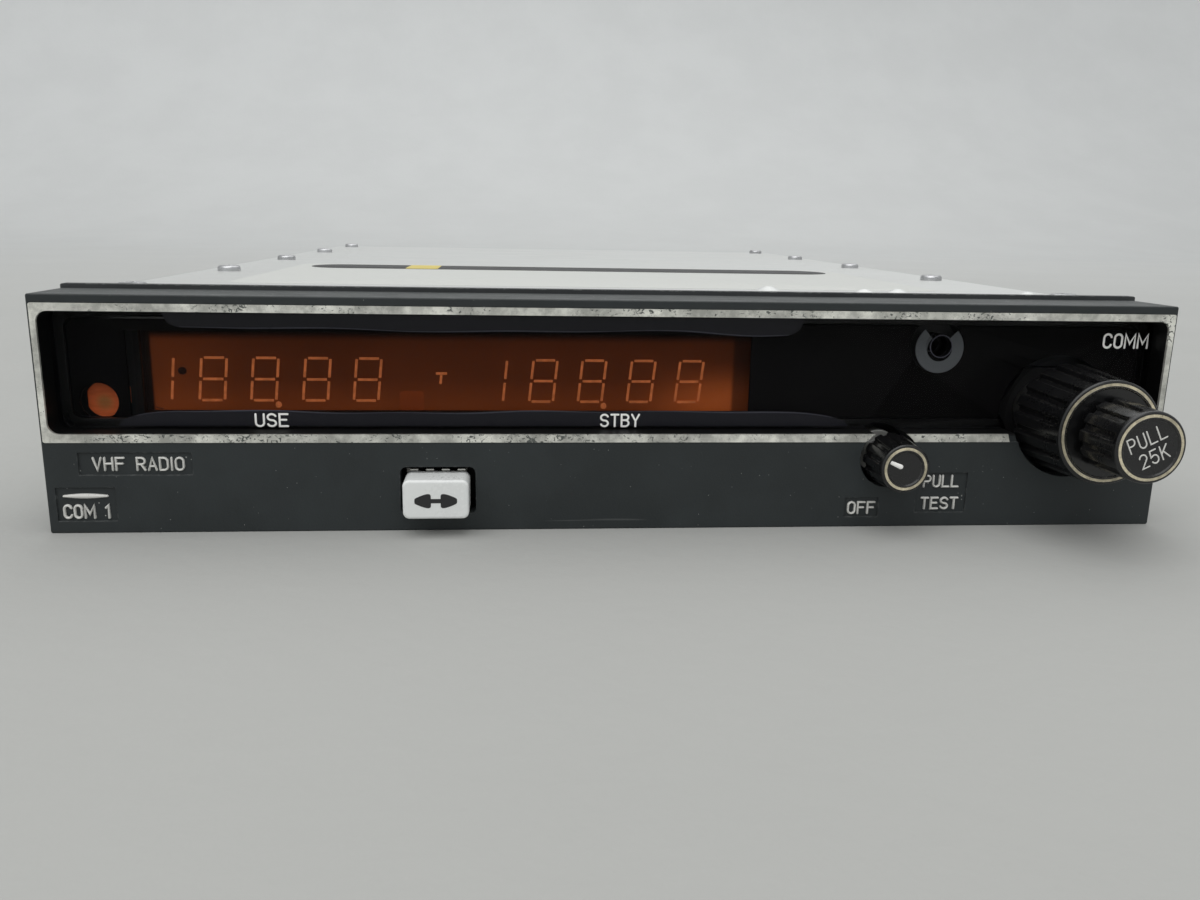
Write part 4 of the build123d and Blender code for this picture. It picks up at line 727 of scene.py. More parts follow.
    WHITE_PAINT = PrintFinish(
        color=(0.66, 0.66, 0.63), roughness=0.5, metallic=0.0, specular=0.4, thin=(0.3, 0.3, 0.29), wear=0.3)
    WHITE_PRINT = PrintFinish(
        color=(0.96, 0.96, 0.93), roughness=0.5, metallic=0.0, specular=0.4, thin=(0.72, 0.72, 0.7), wear=0.15)
    BLACK_PRINT = PrintFinish(
        color=(0.022, 0.022, 0.023), roughness=0.5, metallic=0.0, specular=0.4, thin=(0.05, 0.05, 0.05),
        wear=0.2)
    YELLOW_PRINT = PrintFinish(
        color=(0.62, 0.5, 0.12), roughness=0.5, metallic=0.0, specular=0.4, thin=(0.45, 0.36, 0.1), wear=0.25)
    LABEL_FILM = PrintFinish(
        color=(0.64, 0.65, 0.62), roughness=0.35, metallic=0.3, specular=0.5, thin=(0.55, 0.55, 0.53),
        wear=0.2)
    # Painted reflection: the dark bluish bands across the lens.
    EDGE_BAND = PrintFinish(
        color=(0.0085, 0.0085, 0.014), roughness=0.3, metallic=0.0, specular=0.3, thin=(0.013, 0.013, 0.021),
        wear=0.3)
    # Painted highlight: bright lines along the bands' edges and round the key hole.
    EDGE_RIM = PrintFinish(
        color=(0.06, 0.06, 0.08), roughness=0.3, metallic=0.0, specular=0.3, thin=(0.025, 0.025, 0.035),
        wear=0.5)
    DIM_GLOW = PrintFinish(
        color=(0.2, 0.05, 0.016), roughness=0.5, metallic=0.0, specular=0.2, thin=(0.12, 0.03, 0.01), wear=0.5)
    WINDOW_TAB = PrintFinish(
        color=(0.5, 0.095, 0.02), roughness=0.5, metallic=0.0, specular=0.1, thin=(0.36, 0.07, 0.016),
        wear=0.4)
    WINDOW_SPOT = PrintFinish(
        color=(0.035, 0.011, 0.005), roughness=0.6, metallic=0.0, specular=0.1, thin=(0.05, 0.015, 0.006),
        wear=0.4)


class Dresser:
    """Makes each finish's material once and gives it to pieces."""

    def __init__(self) -> None:
        """Start with no material made."""
        self.made: Dict[Look, bpy.types.Material] = {}

    def material(self, look: Look) -> bpy.types.Material:
        """The finish's material, made on first use."""
        if look not in self.made:
            self.made[look] = look.value.build(look.name.lower())
        return self.made[look]

    def dress(self, piece: bpy.types.Object, look: Look) -> None:
        """Give the whole piece one finish."""
        piece.data.materials.clear()
        piece.data.materials.append(self.material(look))

    def dress_nodes(self, look: Look, *names: str) -> None:
        """Give CAD nodes their finish, keeping their meshes."""
        for name in names:
            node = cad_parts[name]
            for slot in node.material_slots:
                slot.material = self.material(look)
            log.info("node %s wears %s", name, look.name)


DRESSER = Dresser()


# --- surfaces ---

def as_object(name: str, points: np.ndarray, faces: np.ndarray, smooth_angle: float = 35.0) -> bpy.types.Object:
    """Make a mesh object from whole arrays, with doubles merged and normals outward.

    Args:
        name: Name of the piece.
        points: Vertices in millimetres, one row each.
        faces: Quads as rows of four vertex numbers.
        smooth_angle: Edges flatter than this many degrees are shaded smooth.

    Returns:
        The new object, at the origin.
    """
    mesh = bpy.data.meshes.new(name)
    mesh.from_pydata((points * MM).tolist(), [], faces.tolist())
    work = bmesh.new()
    work.from_mesh(mesh)
    bmesh.ops.remove_doubles(work, verts=work.verts, dist=2e-7)
    bmesh.ops.dissolve_degenerate(work, dist=1e-8, edges=work.edges)
    bmesh.ops.recalc_face_normals(work, faces=work.faces)
    work.to_mesh(mesh)
    work.free()
    mesh.shade_smooth()
    mesh.set_sharp_from_angle(angle=math.radians(smooth_angle))
    piece = bpy.data.objects.new(name, mesh)
    bpy.context.scene.collection.objects.link(piece)
    return piece


def grid_faces(rows: int, columns: int, wrap_rows: bool = False, wrap_columns: bool = True) -> np.ndarray:
    """Quads of a grid of rows by columns vertices.

    Args:
        rows: Number of rings.
        columns: Vertices in each ring.
        wrap_rows: Join the last ring to the first.
        wrap_columns: Join each ring's last vertex to its first.

    Returns:
        One row of four vertex numbers for each quad.
    """
    i, j = np.meshgrid(np.arange(rows if wrap_rows else rows - 1),
                       np.arange(columns if wrap_columns else columns - 1), indexing="ij")
    i2, j2 = (i + 1) % rows, (j + 1) % columns
    return np.stack([i * columns + j, i * columns + j2, i2 * columns + j2, i2 * columns + j],
                    axis=-1).reshape(-1, 4)


def arc(cx: float, cz: float, rx: float, rz: float, start: float, end: float, count: int = 12) -> np.ndarray:
    """Points of an ellipse's arc between two angles in degrees."""
    angle = np.radians(np.linspace(start, end, count))
    return np.stack([cx + rx * np.cos(angle), cz + rz * np.sin(angle)], axis=-1)


def path(*parts: object) -> np.ndarray:
    """One path from points and arcs, without repeated points."""
    line = np.concatenate([np.atleast_2d(np.asarray(part, dtype=float)) for part in parts])
    keep = np.concatenate([[True], np.linalg.norm(np.diff(line, axis=0), axis=1) > 1e-6])
    return line[keep]


@dataclass(frozen=True)
class Plane:
    """A flat face that marks are drawn on: a point on it and its directions across, up and out."""

    origin: Rgb
    across: Rgb = (1.0, 0.0, 0.0)
    up: Rgb = (0.0, 0.0, 1.0)
    out: Rgb = (0.0, -1.0, 0.0)

    def at(self, flat: np.ndarray) -> np.ndarray:
        """Points of the frame for rows of (across, up, out), in millimetres."""
        return np.asarray(self.origin) + flat @ np.array([self.across, self.up, self.out])

    def turned(self, degrees: float) -> "Plane":
        """The same plane with its across and up directions turned."""
        c, s = math.cos(math.radians(degrees)), math.sin(math.radians(degrees))
        a, u = np.array(self.across), np.array(self.up)
        return Plane(self.origin, tuple(c * a + s * u), tuple(c * u - s * a), self.out)


def bead(line: np.ndarray, half_width: object, height: float, sides: int = 12,
         cap: int = 5) -> Tuple[np.ndarray, np.ndarray]:
    """Round-ended bead carried along a flat path.

    At each path point stands an ellipse, half_width across the path and height out of the plane. Corners are
    mitred, and at both ends the ellipse shrinks with the cosine of an angle while it moves on by half the
    width times its sine.

    Args:
        line: Path points as rows of (across, up).
        half_width: Half the bead's width, one number or one for each point.
        height: How far the bead stands out of the plane.
        sides: Vertices in each ellipse.
        cap: Rings in each rounded end.

    Returns:
        Vertices as rows of (across, up, out), and the quads between them.
    """
    width = np.broadcast_to(np.asarray(half_width, dtype=float), (len(line),))
    step = np.diff(line, axis=0)
    step /= np.linalg.norm(step, axis=1, keepdims=True)
    before, after = np.vstack([step[:1], step]), np.vstack([step, step[-1:]])
    mean = before + after
    mean /= np.maximum(np.linalg.norm(mean, axis=1, keepdims=True), 1e-6)
    mitre = 1.0 / np.maximum(np.sum(mean * after, axis=1), 0.55)
    turn = np.radians(np.linspace(90, 0, cap, endpoint=False))
    first = line[0] - step[0] * width[0] * np.sin(turn)[:, None]
    last = line[-1] + step[-1] * width[-1] * np.sin(turn[::-1])[:, None]
    centre = np.vstack([first, line, last])
    along = np.vstack([np.repeat(step[:1], cap, 0), mean, np.repeat(step[-1:], cap, 0)])
    size = np.concatenate([np.cos(turn), np.ones(len(line)), np.cos(turn[::-1])])
    reach = np.concatenate([width[:1].repeat(cap), width * mitre, width[-1:].repeat(cap)]) * size
    side = np.stack([along[:, 1], -along[:, 0]], axis=-1)
    angle = np.linspace(0, 2 * np.pi, sides, endpoint=False)
    flat = centre[:, None, :] + side[:, None, :] * (reach[:, None] * np.cos(angle))[..., None]
    out = (size[:, None] * np.sin(angle)) * height
    points = np.concatenate([flat, out[..., None]], axis=-1)
    return points.reshape(-1, 3), grid_faces(len(centre), sides)


def slab(outline: np.ndarray, thickness: float, sink: float = 0.02,
         inner: float = 0.0) -> Tuple[np.ndarray, np.ndarray]:
    """Flat plate of a convex outline, or a frame when inner is more than 0.

    Rings run from the outline's centre (or from the outline shrunk to inner) out to the outline, on top
    and below.

    Args:
        outline: Closed outline as rows of (across, up), first point not repeated.
        thickness: How far it stands out.
        sink: How far it goes below the plane.
        inner: Share of the outline's size at the frame's inner edge.

    Returns:
        Vertices as rows of (across, up, out), and the quads between them.
    """
    middle = outline.mean(axis=0)
    shares = np.array([inner, 0.999, 1.0, 1.0, inner])
    levels = np.array([thickness, thickness, thickness * 0.8, -sink, -sink])
    rings = middle + (outline - middle)[None] * shares[:, None, None]
    out = np.broadcast_to(levels[:, None, None], rings.shape[:2] + (1,))
    points = np.concatenate([rings, out], axis=-1)
    return points.reshape(-1, 3), grid_faces(len(shares), len(outline), wrap_rows=inner > 0)


def join(parts: Sequence[Tuple[np.ndarray, np.ndarray]]) -> Tuple[np.ndarray, np.ndarray]:
    """Several vertex and quad arrays as one pair."""
    starts = np.cumsum([0] + [len(points) for points, _ in parts[:-1]])
    return (np.vstack([points for points, _ in parts]),
            np.vstack([faces + start for (_, faces), start in zip(parts, starts)]))


def rounded_box(box: Box2, radius: float, corner: int = 6) -> np.ndarray:
    """Outline of a box with rounded corners; box is (left, right, bottom, top)."""
    left, right, bottom, top = box
    r = radius
    return np.vstack([arc(right - r, top - r, r, r, 0, 90, corner),
                      arc(left + r, top - r, r, r, 90, 180, corner),
                      arc(left + r, bottom + r, r, r, 180, 270, corner),
                      arc(right - r, bottom + r, r, r, 270, 360, corner)])


class Body(Enum):
    """CAD bodies that new pieces ride on."""

    RADIO = "radio_body"
    BUTTON = "transfer_button"
    VOLUME = "volume_knob"
    OUTER = "outer_knob"
    INNER = "inner_knob"


class Slot(Enum):
    """Material slots of the record; no new piece takes its finish from them."""

    WHITE = "button_white"
    BLACK = "knob_black"
    GROUND = "display_rear"
    LENS = "lens_smoke"
    MASK = "mask_black"
    COVER = "sheet_aluminium"
    GOLD = "gold"
    TINNED = "tinned"
    SPRING = "spring_steel"


def finish_piece(name: str, shape: Tuple[np.ndarray, np.ndarray], look: Look, body: Body,
                 angle: float = 35.0) -> bpy.types.Object:
    """Make a piece, dress it, and say what it rides on.

    Args:
        name: Name of the piece.
        shape: Its vertices in millimetres of the shared frame, and its quads.
        look: Its finish.
        body: The CAD body it moves with.
        angle: Edges flatter than this are shaded smooth.

    Returns:
        The finished piece.
    """
    piece = as_object(name, shape[0], shape[1], angle)
    DRESSER.dress(piece, look)
    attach(piece, body.value)
    log.info("piece %s: %d faces, rides on %s", name, len(piece.data.polygons), body.value)
    return piece


# --- lettering ---

class Alphabet:
    """Plain condensed capitals drawn as strokes in a cell one unit high."""

    def __init__(self, width: float = 0.56) -> None:
        """Keep the width of a normal letter."""
        self.width = width

    def advance(self, letter: str) -> float:
        """How much room a letter takes."""
        return {" ": 0.42, "I": 0.06, "1": 0.26, "M": self.width * 1.3}.get(letter, self.width)

    def strokes(self, letter: str) -> List[np.ndarray]:
        """The letter's strokes, each a path of (across, up) points."""
        w = self.advance(letter)
        h = w / 2
        table: Dict[str, Callable[[], List[np.ndarray]]] = {
            " ": lambda: [],
            "A": lambda: [path((0, 0), (h, 1), (w, 0)), path((0.18 * w, 0.32), (0.82 * w, 0.32))],
            "B": lambda: [path((0, 0), (0, 1), (h, 1), arc(h, 0.765, h * 0.92, 0.235, 85, -85), (h, 0.53),
                               (0, 0.53)),
                          path((h, 0.53), arc(h, 0.265, h, 0.265, 85, -85), (h, 0), (0, 0))],
            "C": lambda: [path(arc(h, 1 - h, h, h, 15, 180), arc(h, h, h, h, 180, 345))],
            "D": lambda: [path((0, 0), (0, 1), (w - 0.3, 1), arc(w - 0.3, 0.7, 0.3, 0.3, 80, 0),
                               arc(w - 0.3, 0.3, 0.3, 0.3, 0, -80), (w - 0.3, 0), (0, 0))],
            "E": lambda: [path((w, 1), (0, 1), (0, 0), (w, 0)), path((0, 0.53), (0.82 * w, 0.53))],
            "F": lambda: [path((w, 1), (0, 1), (0, 0)), path((0, 0.53), (0.82 * w, 0.53))],
            "H": lambda: [path((0, 0), (0, 1)), path((w, 0), (w, 1)), path((0, 0.53), (w, 0.53))],
            "I": lambda: [path((h, 0), (h, 1))],
            "K": lambda: [path((0, 0), (0, 1)), path((w, 1), (0, 0.4)), path((0.32 * w, 0.6), (w, 0))],
            "L": lambda: [path((0, 1), (0, 0), (w, 0))],
            "M": lambda: [path((0, 0), (0, 1), (h, 0.3), (w, 1), (w, 0))],
            "O": lambda: [path(arc(h, 1 - h, h, h, 0, 180), arc(h, h, h, h, 180, 360), (w, 1 - h))],
            "P": lambda: [path((0, 0), (0, 1), (w - 0.26, 1), arc(w - 0.26, 0.74, 0.26, 0.26, 80, -80),
                               (w - 0.26, 0.48), (0, 0.48))],
            "R": lambda: [path((0, 0), (0, 1), (w - 0.26, 1), arc(w - 0.26, 0.74, 0.26, 0.26, 80, -80),
                               (w - 0.26, 0.48), (0, 0.48)), path((h, 0.48), (w, 0))],
            "S": lambda: [path(arc(h, 0.75, h, 0.25, 20, 255), arc(h, 0.25, h, 0.25, 75, -160))],
            "T": lambda: [path((0, 1), (w, 1)), path((h, 1), (h, 0))],
            "U": lambda: [path((0, 1), arc(h, h, h, h, 180, 360), (w, 1))],
            "V": lambda: [path((0, 1), (h, 0), (w, 1))],
            "Y": lambda: [path((0, 1), (h, 0.46), (w, 1)), path((h, 0.46), (h, 0))],
            "1": lambda: [path((0.0, 0.8), (w * 0.8, 1), (w * 0.8, 0))],
            "2": lambda: [path(arc(h, 1 - h, h, h, 165, -25), (0, 0), (w, 0))],
            "5": lambda: [path((w * 0.92, 1), (0.08 * w, 1), (0.02 * w, 0.52),
                               arc(h, 0.31, h, 0.31, 125, -155))],
        }
        return table[letter]()


@dataclass(frozen=True)
class Legend:
    """A word on a flat face: its box on the face, stroke width and height."""

    words: str
    box: Box2
    stroke: float = 0.3
    raised: float = 0.12
    gap: float = 0.26
    letters: Alphabet = field(default_factory=Alphabet)

    def shape(self, plane: Plane) -> Tuple[np.ndarray, np.ndarray]:
        """The word's beads, scaled so that its outer edges fill the box.

        Args:
            plane: The face it stands on.

        Returns:
            Vertices in the shared frame and quads.
        """
        lines: List[np.ndarray] = []
        pen = 0.0
        for letter in self.words:
            lines += [stroke + (pen, 0.0) for stroke in self.letters.strokes(letter)]
            pen += self.letters.advance(letter) + self.gap
        length = pen - self.gap
        left, right, bottom, top = self.box
        inset = self.stroke / 2
        scale = np.array([(right - left - self.stroke) / length, top - bottom - self.stroke])
        corner = np.array([left + inset, bottom + inset])
        beads = [bead(corner + line * scale, inset, self.raised, 8, 3) for line in lines]
        points, faces = join(beads)
        return plane.at(points), faces


# --- sub-assemblies ---

@dataclass
class FrontPanel:
    """Moulded bezel with its foil strip, raised legends in shallow pockets and the plate behind it."""

    pocket_depth: float = 0.25
    radio_words: Legend = Legend("VHF RADIO", (-73.1, -60.9, 8.75, 10.75), 0.3, 0.34)
    unit_words: Legend = Legend("COM 1", (-77.5, -71.2, 1.98, 4.1), 0.36, 0.34)
    unit_bar: Tuple[float, float, float] = (-77.2, -71.5, 5.25)
    off_words: Legend = Legend("OFF", (32.6, 36.85, 1.85, 3.85), 0.32, 0.34)
    pull_words: Legend = Legend("PULL", (43.75, 49.25, 5.85, 7.8), 0.3, 0.34)
    test_words: Legend = Legend("TEST", (43.6, 49.4, 2.5, 4.45), 0.32, 0.34)
    comb_x: Tuple[float, float] = (-30.0, -23.4)
    comb_z: float = 8.62

    def build(self) -> None:
        """Dress the bezel's nodes and add the legends and the comb over the button."""
        DRESSER.dress_nodes(Look.BEZEL, "bezel")
        DRESSER.dress_nodes(Look.FOIL, "window_trim")
        DRESSER.dress_nodes(Look.PANEL, "sub_panel")
        DRESSER.dress_nodes(Look.STEEL, "bezel_screws")
        face = Plane((0.0, node_low("bezel", 1) + self.pocket_depth, 0.0))
        for name, legend in (("legend_radio", self.radio_words), ("legend_unit", self.unit_words),
                             ("legend_off", self.off_words),
                             ("legend_pull", self.pull_words), ("legend_test", self.test_words)):
            finish_piece(name, legend.shape(face), Look.WHITE_PAINT, Body.RADIO)
        left, right, height = self.unit_bar
        share = np.linspace(0.0, 1.0, 25)
        bar = np.stack([left + (right - left) * share, np.full(25, height)], axis=-1)
        points, faces = bead(bar, 0.16 + 0.2 * np.sin(np.pi * share), 0.34)
        finish_piece("legend_bar", (face.at(points), faces), Look.WHITE_PAINT, Body.RADIO)
        self.build_comb()

    def build_comb(self) -> None:
        """Four pale contact tips seen in the gap above the button."""
        plane = Plane((0.0, node_low("bezel", 1) + 1.5, 0.0))
        tips = [slab(rounded_box((x - 0.55, x + 0.55, self.comb_z - 0.12, self.comb_z + 0.08), 0.08, 3), 0.5,
                     0.5)
                for x in np.linspace(*self.comb_x, 4)]
        points, faces = join(tips)
        finish_piece("button_comb", (plane.at(points), faces), Look.TINNED, Body.RADIO)


@dataclass
class Window:
    """Smoked lens with printed legends, bands of painted reflection and painted highlight lines along their
    edges.
    """

    use_words: Legend = Legend("USE", (-52.05, -47.4, 14.2, 16.2), 0.29, 0.03)
    standby_words: Legend = Legend("STBY", (-3.7, 2.1, 14.2, 16.2), 0.29, 0.03)
    comm_words: Legend = Legend("COMM", (70.6, 77.7, 26.1, 28.4), 0.33, 0.03)
    ring_shift: Tuple[float, float] = (0.5, -0.5)
    hole_radius: float = 1.62

    def build(self) -> None:
        """Dress the lens and add its printing and its bands of painted reflection."""
        DRESSER.dress_nodes(Look.LENS, "lens")
        DRESSER.dress_nodes(Look.MASK, "display_mask")
        self.build_key_hole()
        front = node_low("lens", 1)
        face = Plane((0.0, front, 0.0))
        for name, legend in (("legend_use", self.use_words), ("legend_standby", self.standby_words),
                             ("legend_comm", self.comm_words)):
            finish_piece(name, legend.shape(face), Look.WHITE_PRINT, Body.RADIO)
        inside = Plane((0.0, front + 0.12, 0.0))
        bottom, top = node_low("lens", 2) + 0.4, node_high("lens", 2) - 0.4
        # Painted reflection: two dark bluish bands across the lens, each with a painted highlight line along
        # its wavy edge.
        self.band("lens_band_top", inside, -63.5, 25.5, top, self.top_edge, 2.4)
        self.band("lens_band_bottom", inside, -70.5, 33.0, bottom, self.bottom_edge, 9.0)

    def build_key_hole(self) -> None:
        """Key hole of the lens: a painted highlight round the hole, a grey ring on the lens's rear face, and a
        black tube of painted shade from the lens to the screw.

        Ring and shade tube are closed profiles of (along, radius) carried round an axis, the ring's through
        part of a turn.
        """
        x, z = ((node_low("jack_screw", i) + node_high("jack_screw", i)) / 2 for i in (0, 2))
        back, screw = node_high("lens", 1), node_low("jack_screw", 1) - 0.04
        ring = np.array([(back - 0.05, 1.9), (back - 0.05, 3.64), (back + 0.04, 3.68), (back + 0.04, 1.9)])
        # Painted shade: a black tube and washer darken the hole between the lens and the screw head.
        shade_sleeve = np.array([(back + 0.06, 1.62), (back + 0.06, 1.7), (screw, 1.7), (screw, 1.3),
                           (screw - 0.1, 1.3), (screw - 0.1, 1.62)])
        across, down = self.ring_shift
        steps = 72
        for name, line, start, end, dx, dz, look in (("key_ring", ring, 131.0, 406.0, across, down,
                                                      Look.KEY_RING),
                                                     ("key_sleeve", shade_sleeve, 0.0, 360.0, 0.0, 0.0, Look.MASK)):
            closed = end - start == 360.0
            turn = np.radians(np.linspace(start, end, steps, endpoint=not closed))
            points = np.stack([x + dx + line[:, 1:] * np.cos(turn),
                               np.broadcast_to(line[:, :1], (len(line), steps)),
                               z + dz + line[:, 1:] * np.sin(turn)], axis=-1)
            faces = grid_faces(len(line), steps, wrap_rows=True, wrap_columns=closed)
            finish_piece(name, (points.reshape(-1, 3), faces), look, Body.RADIO)
        # Painted highlight: a thin bright line round the hole's edge.
        points, faces = bead(arc(x, z, self.hole_radius, self.hole_radius, -200, 160, 60), 0.07, 0.05, 8, 2)
        finish_piece("key_hole_rim", (Plane((0.0, node_low("lens", 1), 0.0)).at(points), faces), Look.EDGE_RIM,
                     Body.RADIO)

    @staticmethod
    def top_edge(across: np.ndarray) -> np.ndarray:
        """Lower edge of the top band: a slow wave about 27.9 up, with a dip at 18 across."""
        waves = 27.95 + 0.16 * np.sin(across / 9.0 + 1.0) + 0.1 * np.sin(across / 3.7)
        return waves - 0.35 * np.exp(-((across - 18.0) / 7.0) ** 2)

    @staticmethod
    def bottom_edge(across: np.ndarray) -> np.ndarray:
        """Upper edge of the bottom band: a slow wave about 16.4 up, with a rise at 14 across."""
        waves = 16.35 + 0.14 * np.sin(across / 8.0 + 2.4) + 0.09 * np.sin(across / 2.9)
        return waves + 0.25 * np.exp(-((across - 14.0) / 9.0) ** 2)

    def band(self, name: str, plane: Plane, left: float, right: float, rim: float,
             edge: Callable[[np.ndarray], np.ndarray], ease: float) -> None:
        """A flat film of painted reflection between the lens's rim and a wavy edge, and a painted highlight
        line along the edge.

        The film's half-width is half the distance from the rim to the edge, eased to nothing at both ends by
        the square root of a smooth step, so that its ends are round.

        Args:
            name: Name of the film.
            plane: Plane it lies in.
            left: Left end.
            right: Right end.
            rim: Height of its straight side.
            edge: Height of its wavy side for each place across.
            ease: Length of the rounded ends.
        """
        across = np.linspace(left, right, 160)
        near = np.clip(np.minimum(across - left, right - across) / ease, 0.0, 1.0)
        rise = np.sqrt(np.clip(near * (2.0 - near), 0.0, 1.0))
        wavy = rim + (edge(across) - rim) * rise
        half = np.abs(wavy - rim) / 2 + 0.02
        upper = np.stack([across, (wavy + rim) / 2], axis=-1)
        film_rows = np.stack([upper + np.stack([0 * half, half * k], axis=-1) for k in np.linspace(-1, 1, 5)],
                             axis=1)
        top = np.concatenate([film_rows, np.full(film_rows.shape[:2] + (1,), 0.02)], axis=-1)
        low = np.concatenate([film_rows[:, ::-1], np.full(film_rows.shape[:2] + (1,), -0.02)], axis=-1)
        ring = np.concatenate([top, low], axis=1)
        finish_piece(name, (plane.at(ring.reshape(-1, 3)), grid_faces(len(across), 10)), Look.EDGE_BAND,
                     Body.RADIO)
        line = np.stack([across, wavy], axis=-1)[4:-4]
        share = np.linspace(0, 1, len(line))
        points, faces = bead(line, 0.05 + 0.05 * np.sin(9.0 * share) ** 2, 0.03, 8, 3)
        finish_piece(name + "_rim", (plane.at(points + (0, 0, 0.03)), faces), Look.EDGE_RIM, Body.RADIO)


@dataclass
class Display:
    """Gas-filled display: glasses, segments, ground and what shows beside it."""

    tabs: Tuple[Box2, ...] = ((-32.6, -29.1, 15.5, 18.5),)
    spot: Tuple[float, float, float] = (-63.0, 21.3, 0.62)
    bar_x: float = -68.6
    bar_z: Tuple[float, float] = (16.2, 25.2)
    bead_at: Tuple[float, float] = (-66.6, 15.9)

    def build(self) -> None:
        """Dress the display's nodes and add the tab, the spot and the glint at the left."""
        DRESSER.dress_nodes(Look.FRONT_GLASS, "display_front_glass")
        DRESSER.dress_nodes(Look.DISPLAY_GROUND, "display_back_glass")
        DRESSER.dress_nodes(Look.DISPLAY_SEAL, "display_seal")
        DRESSER.dress_nodes(Look.ELECTRODE, "display_cathodes")
        DRESSER.dress_nodes(Look.SENSOR, "photocell")
        DRESSER.dress_nodes(Look.CIRCUIT_BOARD, "display_board")
        DRESSER.dress_nodes(Look.TINNED, "connector_pins")
        DRESSER.dress_nodes(Look.BLACK_MOULDING, "panel_header")
        ground = Plane((0.0, node_low("display_back_glass", 1), 0.0))
        plates = [slab(rounded_box(box, 0.5), 0.03) for box in self.tabs]
        points, faces = join(plates)
        finish_piece("display_tab", (ground.at(points), faces), Look.WINDOW_TAB, Body.RADIO)
        x, z, r = self.spot
        points, faces = slab(arc(x, z, r, r * 0.9, 0, 345, 24), 0.03)
        finish_piece("display_spot", (ground.at(points), faces), Look.WINDOW_SPOT, Body.RADIO)
        steps = 20
        line = np.stack([np.full(steps, self.bar_x) + 0.12 * np.sin(np.linspace(0, 3, steps)),
                         np.linspace(*self.bar_z, steps)], axis=-1)
        glint = bead(line, np.linspace(0.07, 0.12, steps), 0.03)
        corner = bead(np.array([(self.bead_at[0] - 0.35, self.bead_at[1] + 0.15), self.bead_at,
                                (self.bead_at[0] + 0.5, self.bead_at[1] - 0.1)]), 0.09, 0.05)
        points, faces = join([glint, corner])
        finish_piece("display_glint", (ground.at(points), faces), Look.DIM_GLOW, Body.RADIO)


@dataclass
class TransferKey:
    """White transfer button with its two-headed arrow, and the switch behind it."""

    arrow: Box2 = (-29.6, -23.8, 4.2, 6.65)
    head: float = 2.25
    shaft: float = 0.3
    wire: float = 0.16
    turns: float = 5.0
    travel: float = 1.5

    def build(self) -> None:
        """Dress the nodes, make the coil and draw the arrow on the button's face."""
        DRESSER.dress_nodes(Look.BUTTON, "transfer_button")
        DRESSER.dress_nodes(Look.BLACK_MOULDING, "transfer_switch")
        self.build_spring()
        left, right, bottom, top = self.arrow
        middle = (bottom + top) / 2
        plane = Plane((0.0, node_low("transfer_button", 1), 0.0))
        parts = [slab(self.head_outline(left, left + self.head, middle, (top - bottom) / 2), 0.03),
                 slab(self.head_outline(right, right - self.head, middle, (top - bottom) / 2), 0.03),
                 slab(rounded_box((left + self.head - 0.3, right - self.head + 0.3, middle - self.shaft,
                                   middle + self.shaft), 0.05, 3), 0.028)]
        points, faces = join(parts)
        finish_piece("transfer_arrow", (plane.at(points), faces), Look.BLACK_PRINT, Body.BUTTON)

    def build_spring(self) -> None:
        """Coil between the button's back and its switch.

        A circle of wire is carried along a helix: its centre turns evenly about the coil's axis while it moves
        along it, and the circle shrinks to a point at both ends.
        """
        node = "transfer_spring"
        x, z = ((node_low(node, i) + node_high(node, i)) / 2 for i in (0, 2))
        radius = (node_high(node, 0) - node_low(node, 0)) / 2 - self.wire
        rear, front = node_high(node, 1) - self.wire, node_low(node, 1) + self.wire
        steps, sides = 200, 10
        turn = np.linspace(0, 2 * np.pi * self.turns, steps)
        outward = np.stack([np.cos(turn), np.zeros(steps), np.sin(turn)], axis=-1)
        centre = (x, rear, z) + radius * outward
        centre = centre + np.linspace(0, front - rear, steps)[:, None] * (0.0, 1.0, 0.0)
        run = np.gradient(centre, axis=0)
        side = np.cross(run / np.linalg.norm(run, axis=1, keepdims=True), outward)
        around = np.linspace(0, 2 * np.pi, sides, endpoint=False)[:, None]
        wire = self.wire * np.concatenate([[0.0], np.ones(steps - 2), [0.0]])[:, None, None]
        points = centre[:, None] + wire * (outward[:, None] * np.cos(around) + side[:, None] * np.sin(around))
        piece = finish_piece("transfer_coil", (points.reshape(-1, 3), grid_faces(steps, sides)), Look.SPRING,
                             Body.RADIO)
        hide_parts(node)
        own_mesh(piece)

    @staticmethod
    def head_outline(tip: float, base: float, middle: float, half: float) -> np.ndarray:
        """Rounded arrow head: a circle's points pulled into a triangle by a power of the cosine."""
        angle = np.linspace(0, 2 * np.pi, 36, endpoint=False)
        share = (1 + np.cos(angle)) / 2
        width = half * (0.36 + 0.64 * share) * np.sign(np.sin(angle)) * np.abs(np.sin(angle)) ** 0.3
        return np.stack([tip + (base - tip) * share, middle + width], axis=-1)


